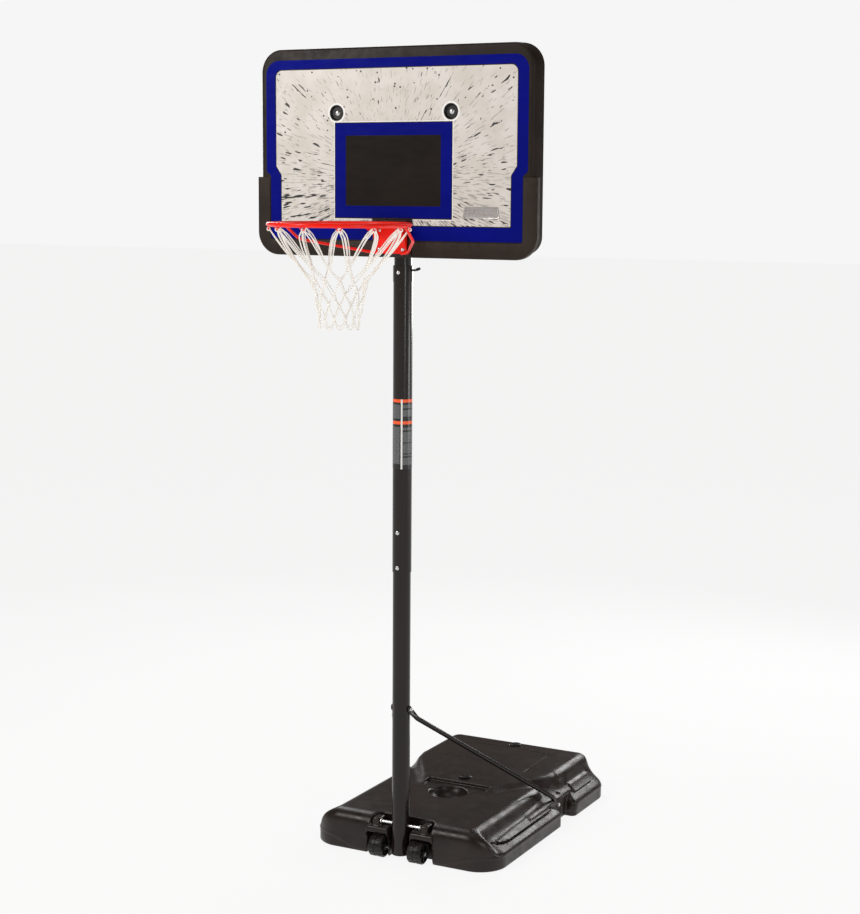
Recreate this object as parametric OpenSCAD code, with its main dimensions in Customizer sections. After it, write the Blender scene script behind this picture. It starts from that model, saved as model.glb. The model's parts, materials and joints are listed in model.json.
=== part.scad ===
// Portable basketball hoop: a ballasted floor base on two wheels, a telescoping three-piece pole
// held by two braces, and a backboard with a rim and net.
// Millimetres, +Z up. The origin is on the floor, on the axis of the pole. The court is at -Y.

/* [Base tank] */
// Width of the base at its belt
base_w = 786; // [760:2:860]
// Foremost point of the base
base_front = -14; // [-40:1:-10]
// Rearmost point of the base
base_rear = 1098; // [1080:1:1160]
// Width of the flat deck between the two side ridges
deck_w = 600; // [560:2:640]
// Height of the front deck
deck_h = 144; // [138:1:150]
// Height of the rear deck
rear_deck_h = 167; // [158:1:176]
// Wall thickness of the moulded tank
tank_wall = 4; // [3:0.5:6]

/* [Pole] */
// Outer diameter of the bottom pole section
bottom_pole_d = 65.8; // [65.8]
// Outer diameter of the middle pole section
middle_pole_d = 70; // [69:0.5:72]
// Outer diameter of the top pole section
top_pole_d = 63.5; // [63.5]
// Wall thickness of the pole tubes
pole_wall = 2; // [1.6:0.1:2]
// Height of the seam where the middle section slips over the bottom one
seam_z = 1092; // [1060:1:1110]
// Height of the top of the middle section's collar
collar_z = 2206; // [2196:1:2212]
// Height that the top section rises from its lowest setting
pole_travel = 705; // [600:5:720]

/* [Backboard] */
// Width of the board without its corner guard
board_w = 1082; // [1040:2:1100]
// Height of the bottom edge of the corner guard above the floor
board_bottom_z = 2237; // [2230:1:2244]
// Height of the top edge of the board above the floor
board_top_z = 2969; // [2940:1:2990]
// Depth of the board from front to back
board_t = 46; // [40:1:46]
// Radius of the board's corners
board_corner_r = 80; // [60:1:100]
// Width of the corner guard
guard_w = 1118; // [1100:2:1130]

/* [Rim and net] */
// Inside diameter of the ring
ring_id = 457.2; // [450:0.2:464]
// Diameter of the ring's rod
ring_rod_d = 16; // [14:0.5:18]
// Distance from the pole axis to the ring's centre
ring_reach = 450; // [440:1:466]
// Height of the ring's centre line at the lowest setting
ring_z = 2357; // [2350:1:2364]
// Number of net hooks round the ring
hook_count = 12; // [12]
// Height of the net from its top loops to its lower points
net_h = 336; // [320:1:360]

/* [Wheels] */
// Diameter of a wheel
wheel_d = 82; // [76:1:84]
// Width of a wheel
wheel_w = 56; // [50:1:60]
// Distance from the middle of the base to the middle of a wheel
wheel_x = 81.5; // [80:0.5:84]

/* [Hidden] */
$fn = 64;

eps = 0.01;
run_gap = 0.05;          // radial clearance where a piece turns or slides in another
fit_gap = 0.1;           // radial clearance where one piece slips over another

// Base
belt_z0 = 44;
belt_z1 = 58;
base_foot_inset = 5;     // how far the underside is drawn in from the belt
base_corner_r = 112;
deck_corner_r = 40;
deck_front = 6;
front_block_rear = 618;
rear_block_front = 732;
deck_rear = 1062;
rear_deck_front = 690;
waist_x = 345;
ramp_front_y = 400;
ramp_rear_y = 560;
bowl_y = 388;
bowl_r = 75;
pocket_z = 146;
ledge_y = 484;
front_cap_y = 535;
rear_cap_y = 1010;
front_cap_z = 160;       // seat of the front cap on the sloping deck
cap_d = 46;
cap_neck_d = 34;
cap_neck_h = 18;
cap_head_h = 4;
seal_h = 2;
slot_half_x = 43;        // slot for the pole in the front of the base
slot_rear_y = 52;
shelf_half_x = 140;      // lowered shelf over the wheels
shelf_z = 112;
well_x0 = 50;
well_x1 = 138;
well_rear_y = 34;
well_top_z = 88;

// Wheels and the axles they turn on
wheel_y = -18;
wheel_z = wheel_d / 2;
axle_d = 10;
axle_x0 = 40;            // underside of the axle's head, in the slot beside the pole
axle_x1 = 117;
axle_head_d = 16;
rod_d = 10;
rod_z = 130;
rod_half = 104;
clip_d = 18;
clip_t = 3;

// Pole
pole_foot_z = 22;
bottom_pole_top_z = 1252;
top_pole_foot_z = 1300;
top_pole_top_z = 2840;
middle_bore_d = bottom_pole_d + 2 * fit_gap;
collar_bore_d = top_pole_d + 2 * run_gap;
collar_h = 58;
glide_h = 60;
joint_bolt_z = [1110, 1240];
bolt_d = 8;
hole_d = 8.4;
head_d = 15;
head_h = 4;
nut_af = 13;
nut_h = 6.5;
guide_z = 2182;
pin_z = 2190;
pin_d = 8;
pin_rest_x = 32.3;       // tip of the pin, drawn back just clear of the top section
pin_out_x = 49.5;
pin_arm_l = 5;            // bare length of the bent arm, before the grip
pin_grip_l = 11;
pin_lift = 70;           // angle of the bent arm from upright
hole_pitch = pole_travel / 5;
label_z0 = 1474;
label_z1 = 1728;
skin_t = 0.4;

// Braces between the pole and the base
strut_z = 577;
strut_d = 18;
strut_tab_t = 4;
strut_tab_w = 26;
strut_foot = [353, 668, 66];
strut_x = bottom_pole_d / 2 + 2.3;
strut_top = [strut_x, 8, strut_z - 22];
strut_end = [strut_foot[0] + 5, strut_foot[1] - 22, strut_foot[2] + 24];
strut_run = strut_end - strut_top;
strut_len = norm(strut_run);
strut_tilt = acos(strut_run[2] / strut_len);
strut_turn = atan2(strut_run[1], strut_run[0]);

// Board
board_front_y = -80.5;
board_back_y = board_front_y + board_t;
guard_top_z = 2517;
guard_lip = 3.5;
guard_depth = 23;
guard_inner_x = 506;
guard_inner_z = 2293;
guard_corner_r = 84;
shell_t = 6;
board_bolt_x = 228;
board_bolt_z = 2742;
cup_d = 56;
border_x = 522;
border_top_z = 2930;
border_low_x = 504;
border_low_z = 2297;
field_x = 480.4;
field_low_x = 458.8;
field_top_z = 2894.7;
field_low_z = 2349.4;
jog_z0 = 2523;
jog_z1 = 2556;
line_w = 3.2;            // dark line between two printed fields
target_x = 232.2;
target_z0 = 2374.4;
target_z1 = 2705.5;
panel_x = 190.2;
panel_z0 = 2416.4;
panel_z1 = 2662.7;

// Rim
ring_r = (ring_id + ring_rod_d) / 2;
ring_y = -ring_reach;
rim_bolt_x = 47;
rim_bolt_z = [2265, 2333];
plate_z0 = 2250;
plate_z1 = 2352;
plate_x = 62;
plate_t = 4;
backing_x = 78;
backing_z0 = 2243;
backing_z1 = 2374;
backing_t = 3;
backing_y = board_front_y - guard_lip;
plate_y = backing_y - backing_t;
bracket_t = 2.4;
bracket_x = 64;
bracket_bolt_z = [2278, 2320];
arm_t = 4;
arm_h = 44;
brace_d = 10;
hook_r = 9;
hook_rod_d = 4;
net_top_z = ring_z - ring_rod_d / 2 - hook_r - 4;
net_t = 5;

// ---------- small shared shapes ----------

// Axis helpers: turn a shape drawn along +Z to lie along +X, or along +Y
module along_x() { rotate([0, 90, 0]) children(); }
module along_y() { rotate([-90, 0, 0]) children(); }

module tube(d, wall, h) {
    difference() {
        cylinder(d = d, h = h);
        translate([0, 0, -1]) cylinder(d = d - 2 * wall, h = h + 2);
    }
}

// Bolt along +Z: a low domed head below z = 0 and a shank above it
module bolt(length, d = bolt_d, head = head_d, dome = head_h) {
    cylinder(d = d, h = length);
    intersection() {
        translate([0, 0, -dome]) cylinder(d = head, h = dome);
        translate([0, 0, head * 0.75 - dome]) sphere(d = head * 1.5);
    }
}

module hex_nut(across = nut_af, h = nut_h, d = bolt_d) {
    difference() {
        cylinder(d = across / cos(30), h = h, $fn = 6);
        translate([0, 0, -1]) cylinder(d = d, h = h + 2);
    }
}

// Plate in the XZ plane with round corners, its front at y, growing to +Y
module round_plate(x0, x1, z0, z1, r, y, t) {
    translate([0, y, 0])
        rotate([90, 0, 0])
            mirror([0, 0, 1])
                linear_extrude(height = t)
                    round_rect(x0, x1, z0, z1, r, r);
}

// Rectangle with its own radius at the top corners and at the bottom ones
module round_rect(x0, x1, y0, y1, r_low, r_top) {
    translate([x0 + r_low, y0]) square([x1 - x0 - 2 * r_low, y1 - y0 - r_top]);
    translate([x0 + r_top, y1 - r_top - 1]) square([x1 - x0 - 2 * r_top, r_top + 1]);
    translate([x0, y0 + r_low]) square([x1 - x0, y1 - y0 - r_low - r_top]);
    for (x = [x0 + r_low, x1 - r_low])
        translate([x, y0 + r_low]) circle(r = r_low);
    for (x = [x0 + r_top, x1 - r_top])
        translate([x, y1 - r_top]) circle(r = r_top);
}

// Extrude an outline drawn in X and Z from y to y + t
module panel(y, t) {
    translate([0, y, 0]) rotate([90, 0, 0]) mirror([0, 0, 1]) linear_extrude(height = t) children();
}

// ---------- base ----------

// Four corner posts of one level of a block; r_front and r_rear are the corner radii
module level(half_x, y0, y1, z, h, r_front, r_rear) {
    for (side = [-1, 1]) {
        translate([side * (half_x - r_front), y0 + r_front, z]) cylinder(r = r_front, h = h, $fn = 40);
        translate([side * (half_x - r_rear), y1 - r_rear, z]) cylinder(r = r_rear, h = h, $fn = 40);
    }
}

// Outline of the rise between the two decks: narrow in front, full width behind
function ramp_outline(half_x, nose_x, nose_y, side_y) = [
    [-nose_x, nose_y], [nose_x, nose_y], [half_x, side_y], [half_x, 800], [-half_x, 800], [-half_x, side_y],
];

// Outer form of the tank, drawn in by d on every side
module tank_blocks(d) {
    half = base_w / 2 - d;
    foot = base_foot_inset;
    small = 24;
    hull() {
        level(half - foot, base_front + foot + d, front_block_rear - d, d, 1, base_corner_r - foot, small);
        level(half, base_front + d, front_block_rear - d, belt_z0, belt_z1 - belt_z0, base_corner_r, small);
        level(deck_w / 2 + 14 - d, deck_front - 7 + d, front_block_rear - 12 - d, deck_h - 12, 1 - d / 8,
              deck_corner_r + 12, small);
        level(deck_w / 2 - d, deck_front + d, front_block_rear - 18 - d, deck_h - 2 - d, 2,
              deck_corner_r, small);
    }
    hull() {
        level(half - foot, rear_block_front + d, base_rear - foot - d, d, 1, small, base_corner_r - foot);
        level(half, rear_block_front + d, base_rear - d, belt_z0, belt_z1 - belt_z0, small, base_corner_r);
        level(deck_w / 2 + 14 - d, rear_deck_front - 8 + d, deck_rear + 10 - d, rear_deck_h - 12,
              1 - d / 8, small, deck_corner_r + 12);
        level(deck_w / 2 - d, rear_deck_front + d, deck_rear - d, rear_deck_h - 2 - d, 2,
              small, deck_corner_r);
    }
    translate([-waist_x + d, ramp_front_y, d]) cube([2 * (waist_x - d), 400, 92 - 2 * d]);
    hull() {
        translate([0, 0, d]) linear_extrude(height = deck_h - 2 * d - 2)
            polygon(ramp_outline(deck_w / 2 - d, 170 - d, ramp_front_y + d, 600 + d));
        translate([0, 0, d]) linear_extrude(height = rear_deck_h - 2 * d)
            polygon(ramp_outline(deck_w / 2 - 8 - d, 130 - d, ramp_rear_y + d, 672 + d));
    }
}

// Hollows in the top and front of the tank, grown by d on every side
module tank_hollows(d) {
    // slot for the foot of the pole
    translate([-slot_half_x - d, base_front - 100, -1])
        cube([2 * (slot_half_x + d), 100 - base_front + slot_rear_y + d, rear_deck_h]);
    // shelf over the wheels
    translate([-shelf_half_x - d, base_front - 100, shelf_z - d])
        cube([2 * (shelf_half_x + d), 100 - base_front + slot_rear_y + d, 100]);
    for (side = [-1, 1])
        translate([side * (well_x0 + well_x1) / 2, 0, 0]) {
            translate([-(well_x1 - well_x0) / 2 - d, base_front - 100, -1])
                cube([well_x1 - well_x0 + 2 * d, 100 - base_front + well_rear_y + d, well_top_z + 1 + d]);
        }
    // groove that each brace lies over, and the room round its foot
    for (side = [-1, 1])
        scale([side, 1, 1]) {
            on_strut() cylinder(d = strut_d + 8 + 2 * d, h = strut_len + 14, $fn = 32);
            hull() {
                on_strut()
                    translate([0, 0, strut_len - 46]) cylinder(d = strut_d + 6 + 2 * d, h = 12, $fn = 20);
                translate([waist_x - d, strut_foot[1], strut_foot[2]])
                    along_x() cylinder(d = strut_tab_w + 6 + 2 * d, h = 30, $fn = 20);
            }
        }
    // bowl, with the flat pocket behind it
    translate([0, bowl_y, pocket_z + 28]) sphere(r = bowl_r + 5 + d, $fn = 80);
    translate([0, 0, pocket_z - d])
        linear_extrude(height = 60)
            intersection() {
                translate([-132 - d, bowl_y]) square([264 + 2 * d, ledge_y - bowl_y + d]);
                translate([0, bowl_y - 60]) circle(r = ledge_y - bowl_y + 66 + d, $fn = 96);
            }
}

module tank_form(d) {
    difference() {
        tank_blocks(d);
        tank_hollows(d);
    }
}

module cap_bores(extra) {
    for (cap = [[front_cap_y, front_cap_z], [rear_cap_y, rear_deck_h]])
        translate([0, cap[0], cap[1] - cap_neck_h - 12])
            cylinder(d = cap_neck_d + extra, h = cap_neck_h + 40);
}

module base_tank() {
    color([0.22, 0.19, 0.18])
        difference() {
            union() {
                difference() {
                    tank_form(0);
                    tank_form(tank_wall);
                }
                tank_necks();
                axle_bosses();
                strut_bosses();
            }
            cap_seats();
            cap_bores(2 * run_gap);
            translate([-rod_half, 0, rod_z]) along_x() cylinder(d = rod_d + 2 * fit_gap, h = 2 * rod_half);
            for (side = [-1, 1])
                translate([side > 0 ? axle_x0 : -axle_x1, wheel_y, wheel_z])
                    along_x()
                        cylinder(d = axle_d + 2 * fit_gap, h = axle_x1 - axle_x0);
            for (side = [-1, 1])
                translate([side > 0 ? strut_foot[0] - 60 : -strut_foot[0] - 60, strut_foot[1], strut_foot[2]])
                    along_x()
                        cylinder(d = hole_d, h = 120);
        }
}

// Thick rings that carry the caps
module tank_necks() {
    for (cap = [[front_cap_y, front_cap_z], [rear_cap_y, rear_deck_h]])
        translate([0, cap[0], cap[1] - cap_neck_h - 6])
            cylinder(d = cap_d + 14, h = cap_neck_h + 5);
}

// Level seats under the caps
module cap_seats() {
    translate([0, front_cap_y, front_cap_z]) cylinder(d = cap_d + 6, h = 30);
    translate([0, rear_cap_y, rear_deck_h - 1.5]) cylinder(d = cap_d + 6, h = 30);
}

// Saddles that carry the pivot rod, and the webs beside the pole that carry the wheel axles
module axle_bosses() {
    web_t = well_x0 - slot_half_x;
    for (side = [-1, 1]) {
        translate([side * 101 - 15, -16, shelf_z - 1]) cube([30, slot_rear_y + 18, rod_z - shelf_z + 13]);
        translate([side * (slot_half_x + web_t / 2) - web_t / 2, wheel_y - 13, 16])
            cube([web_t, slot_rear_y - wheel_y, shelf_z - 20]);
    }
}

module strut_bosses() {
    for (side = [-1, 1])
        translate([side * (waist_x - 17), strut_foot[1], strut_foot[2]])
            translate([-14, -10, -22])
                cube([28, 32, 34]);
}

module ballast_fill() {
    color([0.45, 0.55, 0.62])
        difference() {
            tank_form(tank_wall + 0.5);
            cap_bores(30);
            for (side = [-1, 1]) {
                translate([side * 101 - 16, -20, shelf_z - 10]) cube([32, 80, 60]);
                translate([side * 46.5 - 6, -40, 0]) cube([12, 82, shelf_z]);
                translate([side * (waist_x - 22) - 22, strut_foot[1] - 23, strut_foot[2] - 23])
                    cube([44, 46, 46]);
            }
        }
}

module fill_cap(y, z) {
    translate([0, y, z]) {
        translate([0, 0, seal_h])
            difference() {
                union() {
                    cylinder(d = cap_d, h = cap_head_h);
                    translate([0, 0, cap_head_h]) cylinder(d1 = cap_d, d2 = cap_d - 5, h = 1.6);
                }
                for (side = [-1, 1])
                    translate([side * 9 - 4, -3, 3]) cube([8, 6, 10]);
            }
        translate([0, 0, -cap_neck_h]) cylinder(d = cap_neck_d, h = cap_neck_h + seal_h + 1);
    }
}

module cap_seal(y, z) {
    color([0.1, 0.1, 0.1])
        translate([0, y, z])
            difference() {
                cylinder(d = cap_d - 2, h = seal_h);
                translate([0, 0, -1]) cylinder(d = cap_neck_d, h = seal_h + 2);
            }
}

module front_fill_cap() { color([0.09, 0.08, 0.08]) fill_cap(front_cap_y, front_cap_z); }
module rear_fill_cap() { color([0.09, 0.08, 0.08]) fill_cap(rear_cap_y, rear_deck_h - 1.5); }
module front_cap_seal() { cap_seal(front_cap_y, front_cap_z); }
module rear_cap_seal() { cap_seal(rear_cap_y, rear_deck_h - 1.5); }

// Wheel: hub, web and a tread with shallow blocks
module wheel(side) {
    blocks = 14;
    hub_d = 26;
    color([0.1, 0.09, 0.09])
        translate([side * wheel_x - wheel_w / 2, wheel_y, wheel_z])
            along_x()
                difference() {
                    union() {
                        cylinder(d = wheel_d, h = wheel_w);
                        translate([0, 0, -3]) cylinder(d = hub_d, h = wheel_w + 6);
                    }
                    translate([0, 0, -5]) cylinder(d = axle_d + 2 * run_gap, h = wheel_w + 10);
                    for (face = [-1, wheel_w - 9])
                        translate([0, 0, face])
                            difference() {
                                cylinder(d = wheel_d - 16, h = 10);
                                translate([0, 0, -1]) cylinder(d = hub_d, h = 12);
                            }
                    for (i = [0:blocks - 1])
                        rotate([0, 0, i * 360 / blocks])
                            translate([wheel_d / 2 - 1.6, -2, wheel_w * 0.56])
                                cube([4, 4, wheel_w]);
                    for (i = [0:blocks - 1])
                        rotate([0, 0, (i + 0.5) * 360 / blocks])
                            translate([wheel_d / 2 - 1.6, -2, -wheel_w * 0.56])
                                cube([4, 4, wheel_w]);
                }
}

module wheel_left() { wheel(-1); }
module wheel_right() { wheel(1); }

module wheel_axles() {
    color([0.75, 0.75, 0.77])
        for (side = [-1, 1])
            scale([side, 1, 1])
                translate([axle_x0, wheel_y, wheel_z])
                    along_x() {
                        cylinder(d = axle_d, h = axle_x1 - axle_x0);
                        translate([0, 0, -0.2]) cylinder(d = axle_head_d, h = 2.8);
                    }
}

module spring_clip(x, y, z, bore) {
    translate([x, y, z])
        along_x()
            difference() {
                cylinder(d = clip_d, h = clip_t);
                translate([0, 0, -1]) cylinder(d = bore, h = clip_t + 2);
            }
}

module wheel_axle_clips() {
    color([0.7, 0.7, 0.72])
        for (side = [-1, 1])
            spring_clip(side > 0 ? 113 : -113 - clip_t, wheel_y, wheel_z, axle_d);
}

module pivot_rod() {
    color([0.8, 0.8, 0.82])
        translate([-rod_half, 0, rod_z]) along_x() cylinder(d = rod_d, h = 2 * rod_half);
}

module pivot_rod_clips() {
    color([0.7, 0.7, 0.72])
        for (side = [-1, 1])
            spring_clip(side > 0 ? 80 : -80 - clip_t, 0, rod_z, rod_d);
}

// ---------- pole ----------

module pole_bottom() {
    color([0.16, 0.14, 0.13])
        difference() {
            translate([0, 0, pole_foot_z])
                tube(bottom_pole_d, pole_wall, bottom_pole_top_z - pole_foot_z);
            translate([-50, 0, rod_z]) along_x() cylinder(d = rod_d + 2 * fit_gap, h = 100);
            translate([-50, 0, strut_z]) along_x() cylinder(d = hole_d, h = 100);
            for (z = joint_bolt_z)
                translate([0, -50, z]) along_y() cylinder(d = hole_d, h = 100);
        }
}

module pole_foot_cap() {
    color([0.07, 0.07, 0.07]) {
        translate([0, 0, pole_foot_z - 5]) cylinder(d = bottom_pole_d, h = 5);
        translate([0, 0, pole_foot_z - eps])
            cylinder(d = bottom_pole_d - 2 * pole_wall - 2 * fit_gap, h = 20);
    }
}

module pole_middle() {
    color([0.16, 0.14, 0.13])
        difference() {
            union() {
                translate([0, 0, seam_z]) cylinder(d = middle_pole_d, h = collar_z - seam_z);
                translate([0, 0, collar_z - collar_h]) cylinder(d = middle_pole_d + 2.4, h = collar_h);
            }
            translate([0, 0, seam_z - 1])
                cylinder(d = middle_bore_d, h = collar_z - collar_h - seam_z + 1);
            translate([0, 0, seam_z]) cylinder(d = collar_bore_d, h = collar_z - seam_z + 1);
            for (z = joint_bolt_z)
                translate([0, -50, z]) along_y() cylinder(d = hole_d, h = 100);
            translate([0, -50, guide_z]) along_y() cylinder(d = bolt_d + 2 * fit_gap, h = 50);
            translate([0, 0, pin_z]) along_x() cylinder(d = pin_d + 2 * run_gap, h = 50);
        }
}

module pole_label() {
    color([0.9, 0.45, 0.15])
        translate([0, 0, label_z0])
            difference() {
                cylinder(d = middle_pole_d + 2 * skin_t, h = label_z1 - label_z0);
                translate([0, 0, -1]) cylinder(d = middle_pole_d, h = label_z1 - label_z0 + 2);
            }
}

module pole_joint_bolts() {
    color([0.78, 0.78, 0.8])
        for (z = joint_bolt_z)
            translate([0, -middle_pole_d / 2 - 0.2, z]) along_y() bolt(middle_pole_d + 9);
}

module pole_joint_nuts() {
    color([0.78, 0.78, 0.8])
        for (z = joint_bolt_z)
            translate([0, middle_pole_d / 2 + 0.2, z]) along_y() hex_nut();
}

// Its tip rides in the long slot of the top section, so the board can't turn
module guide_bolt() {
    color([0.8, 0.8, 0.82])
        translate([0, -middle_pole_d / 2 - 1.4, guide_z]) along_y() bolt(8.2, head = 14);
}

module adjust_pin() {
    color([0.08, 0.08, 0.08]) {
        translate([pin_rest_x, 0, pin_z]) along_x() cylinder(d = pin_d, h = pin_out_x - pin_rest_x);
        translate([pin_out_x, 0, pin_z]) sphere(d = pin_d + 1);
        translate([pin_out_x, 0, pin_z]) rotate([0, pin_lift, 0]) cylinder(d = pin_d, h = pin_arm_l);
    }
}

module adjust_pin_grip() {
    color([0.05, 0.05, 0.05])
        translate([pin_out_x, 0, pin_z])
            rotate([0, pin_lift, 0])
                translate([0, 0, pin_arm_l]) {
                    cylinder(d = 10.5, h = pin_grip_l);
                    translate([0, 0, pin_grip_l]) sphere(d = 10.5);
                }
}

module pole_top() {
    color([0.16, 0.14, 0.13])
        difference() {
            translate([0, 0, top_pole_foot_z]) tube(top_pole_d, pole_wall, top_pole_top_z - top_pole_foot_z);
            // slot for the guide bolt, from its place at rest down to its place at full height
            translate([-bolt_d / 2 - 0.3, -50, guide_z - pole_travel]) cube([bolt_d + 0.6, 50, pole_travel]);
            for (z = [guide_z, guide_z - pole_travel])
                translate([0, -50, z]) along_y() cylinder(d = bolt_d + 0.6, h = 50);
            for (i = [0:5])
                translate([0, 0, pin_z - i * hole_pitch])
                    along_x() cylinder(d = pin_d + 2 * fit_gap, h = 50);
            translate([-50, 0, board_bolt_z]) along_x() cylinder(d = hole_d, h = 100);
            for (z = bracket_bolt_z)
                translate([-50, 0, z]) along_x() cylinder(d = hole_d, h = 100);
        }
}

// Plastic ring on the lower end of the top section, which glides in the middle one
module pole_glide() {
    color([0.85, 0.85, 0.82])
        translate([0, 0, top_pole_foot_z - 8])
            difference() {
                cylinder(d = middle_bore_d - 2 * run_gap, h = glide_h);
                translate([0, 0, -1]) cylinder(d = top_pole_d - 2 * pole_wall - 8, h = glide_h + 2);
                translate([0, 0, 8]) cylinder(d = top_pole_d, h = glide_h);
            }
}

module pole_top_cap() {
    color([0.07, 0.07, 0.07]) {
        translate([0, 0, top_pole_top_z]) cylinder(d = top_pole_d, h = 5);
        translate([0, 0, top_pole_top_z - 18])
            cylinder(d = top_pole_d - 2 * pole_wall - 2 * fit_gap, h = 18 + eps);
    }
}

// ---------- braces ----------

// Moves a shape drawn along +Z onto the line of the right brace, at its upper end
module on_strut() { translate(strut_top) rotate([0, strut_tilt, strut_turn]) children(); }

// One brace: a tube with a flattened, bolted tab at each end. side is -1 or 1
module strut(side) {
    neck = 33;
    color([0.12, 0.11, 0.11])
        scale([side, 1, 1])
            difference() {
                union() {
                    on_strut() translate([0, 0, neck]) cylinder(d = strut_d, h = strut_len - 2 * neck);
                    hull() {
                        on_strut() translate([0, 0, neck - 1]) cylinder(d = strut_d + 1.4, h = 3, $fn = 24);
                        translate([strut_x - 2, 0, strut_z])
                            along_x() cylinder(d = strut_tab_w, h = strut_tab_t, $fn = 24);
                    }
                    hull() {
                        on_strut()
                            translate([0, 0, strut_len - neck - 2])
                                cylinder(d = strut_d + 1.4, h = 3, $fn = 24);
                        translate([strut_foot[0] - 6, strut_foot[1], strut_foot[2]])
                            along_x() cylinder(d = strut_tab_w, h = strut_tab_t, $fn = 24);
                    }
                }
                translate([0, 0, strut_z]) along_x() cylinder(d = hole_d, h = 100);
                // flat seats for the heads and nuts of the bolts
                translate([strut_x + 2.02, 0, strut_z]) along_x() cylinder(d = head_d + 3, h = 40);
                translate([strut_foot[0] - 1.98, strut_foot[1], strut_foot[2]])
                    along_x() cylinder(d = head_d + 3, h = 40);
                translate([strut_foot[0] - 20, strut_foot[1], strut_foot[2]])
                    along_x() cylinder(d = hole_d, h = 60);
            }
}

module strut_left() { strut(-1); }
module strut_right() { strut(1); }

module strut_top_bolt() {
    color([0.78, 0.78, 0.8])
        translate([-strut_x - 2.1, 0, strut_z]) along_x() bolt(2 * strut_x + 14);
}

module strut_top_nut() {
    color([0.78, 0.78, 0.8]) translate([strut_x + 2.1, 0, strut_z]) along_x() hex_nut();
}

module strut_foot_bolts() {
    color([0.78, 0.78, 0.8])
        for (side = [-1, 1])
            scale([side, 1, 1])
                translate([strut_foot[0] - 1.6, strut_foot[1], strut_foot[2]])
                    rotate([0, -90, 0]) bolt(42);
}

module strut_foot_nuts() {
    color([0.78, 0.78, 0.8])
        for (side = [-1, 1])
            scale([side, 1, 1])
                translate([waist_x - 32 - nut_h, strut_foot[1], strut_foot[2]])
                    along_x() hex_nut();
}

// ---------- backboard ----------

module board_shell() {
    inner = board_w / 2 - shell_t;
    rib_h = board_t - shell_t - 12;
    color([0.2, 0.18, 0.17])
        difference() {
            union() {
                difference() {
                    panel(board_front_y, board_t)
                        round_rect(-board_w / 2, board_w / 2, board_bottom_z + 18, board_top_z,
                                   board_corner_r - 18, board_corner_r);
                    panel(board_front_y + shell_t, board_t)
                        round_rect(-inner, inner, board_bottom_z + 18 + shell_t, board_top_z - shell_t,
                                   board_corner_r - 18 - shell_t, board_corner_r - shell_t);
                }
                for (x = [-390, -300, -110, 110, 300, 390])
                    translate([x - 2, board_front_y + shell_t - 1, board_bottom_z + 20])
                        cube([4, rib_h, board_top_z - board_bottom_z - 22]);
                for (z = [2400, 2500, 2600, 2860])
                    translate([-board_w / 2 + 2, board_front_y + shell_t - 1, z - 2])
                        cube([board_w - 4, rib_h, 4]);
                for (side = [-1, 1])
                    translate([side * board_bolt_x, board_front_y + 1, board_bolt_z])
                        along_y() cylinder(d = cup_d + 10, h = 17);
            }
            for (side = [-1, 1])
                translate([side * board_bolt_x, board_front_y - 1, board_bolt_z]) along_y() {
                    cylinder(d = cup_d + 0.2, h = 13);
                    cylinder(d = hole_d, h = 30);
                }
            for (x = [-rim_bolt_x, rim_bolt_x])
                for (z = rim_bolt_z)
                    translate([x, board_front_y - 1, z]) along_y() cylinder(d = hole_d, h = 60);
            // flat seat for the pole bracket, and room for the arms and the pole
            translate([-bracket_x - 4, board_front_y + shell_t + 20, board_bottom_z])
                cube([2 * bracket_x + 8, 60, 150]);
        }
    color([0.2, 0.18, 0.17])
        difference() {
            translate([-bracket_x, board_front_y + shell_t, board_bottom_z + 19])
                cube([2 * bracket_x, board_t - shell_t, rim_bolt_z[1] - board_bottom_z - 3]);
            for (x = [-rim_bolt_x, rim_bolt_x])
                for (z = rim_bolt_z)
                    translate([x, board_front_y - 1, z]) along_y() cylinder(d = hole_d, h = 60);
        }
}

// Printed areas: an outline that narrows below the jog, where the corner guard takes its room
module printed_outline(upper_x, lower_x, z0, z1, r_low, r_top, jog_low, jog_high) {
    round_rect(-lower_x, lower_x, z0, jog_high, r_low, 1);
    difference() {
        round_rect(-upper_x, upper_x, jog_high - r_top, z1, 1, r_top);
        translate([-upper_x - 1, z0 - 1]) square([2 * upper_x + 2, jog_high - z0 + 1]);
    }
    polygon([[-upper_x, jog_high], [-lower_x, jog_low], [lower_x, jog_low], [upper_x, jog_high]]);
}

module blue_border() {
    color([0.0, 0.08, 0.5])
        panel(board_front_y - skin_t, skin_t)
            difference() {
                printed_outline(border_x, border_low_x, border_low_z, border_top_z, 8, 52,
                                guard_top_z + 4, guard_top_z + 20);
                printed_outline(field_x + line_w, field_low_x + line_w, field_low_z - line_w,
                                field_top_z + line_w, 3, 26, jog_z0, jog_z1);
                for (side = [-1, 1])
                    translate([side * rim_bolt_x, rim_bolt_z[1]]) circle(d = hole_d);
            }
}

module white_field() {
    color([0.85, 0.82, 0.79])
        panel(board_front_y - skin_t, skin_t)
            difference() {
                printed_outline(field_x, field_low_x, field_low_z, field_top_z, 3, 24, jog_z0, jog_z1);
                translate([-target_x - line_w, target_z0 - line_w])
                    square([2 * (target_x + line_w), target_z1 - target_z0 + 2 * line_w]);
                for (side = [-1, 1])
                    translate([side * board_bolt_x, board_bolt_z]) circle(d = cup_d + 1);
                translate([-backing_x - 1, field_low_z - 1])
                    square([2 * backing_x + 2, backing_z1 - field_low_z + 2]);
            }
}

module target_border() {
    color([0.0, 0.08, 0.5])
        panel(board_front_y - skin_t, skin_t)
            difference() {
                translate([-target_x, target_z0 + 1]) square([2 * target_x, target_z1 - target_z0 - 1]);
                translate([-panel_x, panel_z0]) square([2 * panel_x, panel_z1 - panel_z0]);
            }
}

module target_panel() {
    color([0.16, 0.13, 0.11])
        panel(board_front_y - skin_t, skin_t)
            translate([-panel_x + 1, panel_z0 + 1]) square([2 * panel_x - 2, panel_z1 - panel_z0 - 2]);
}

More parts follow.
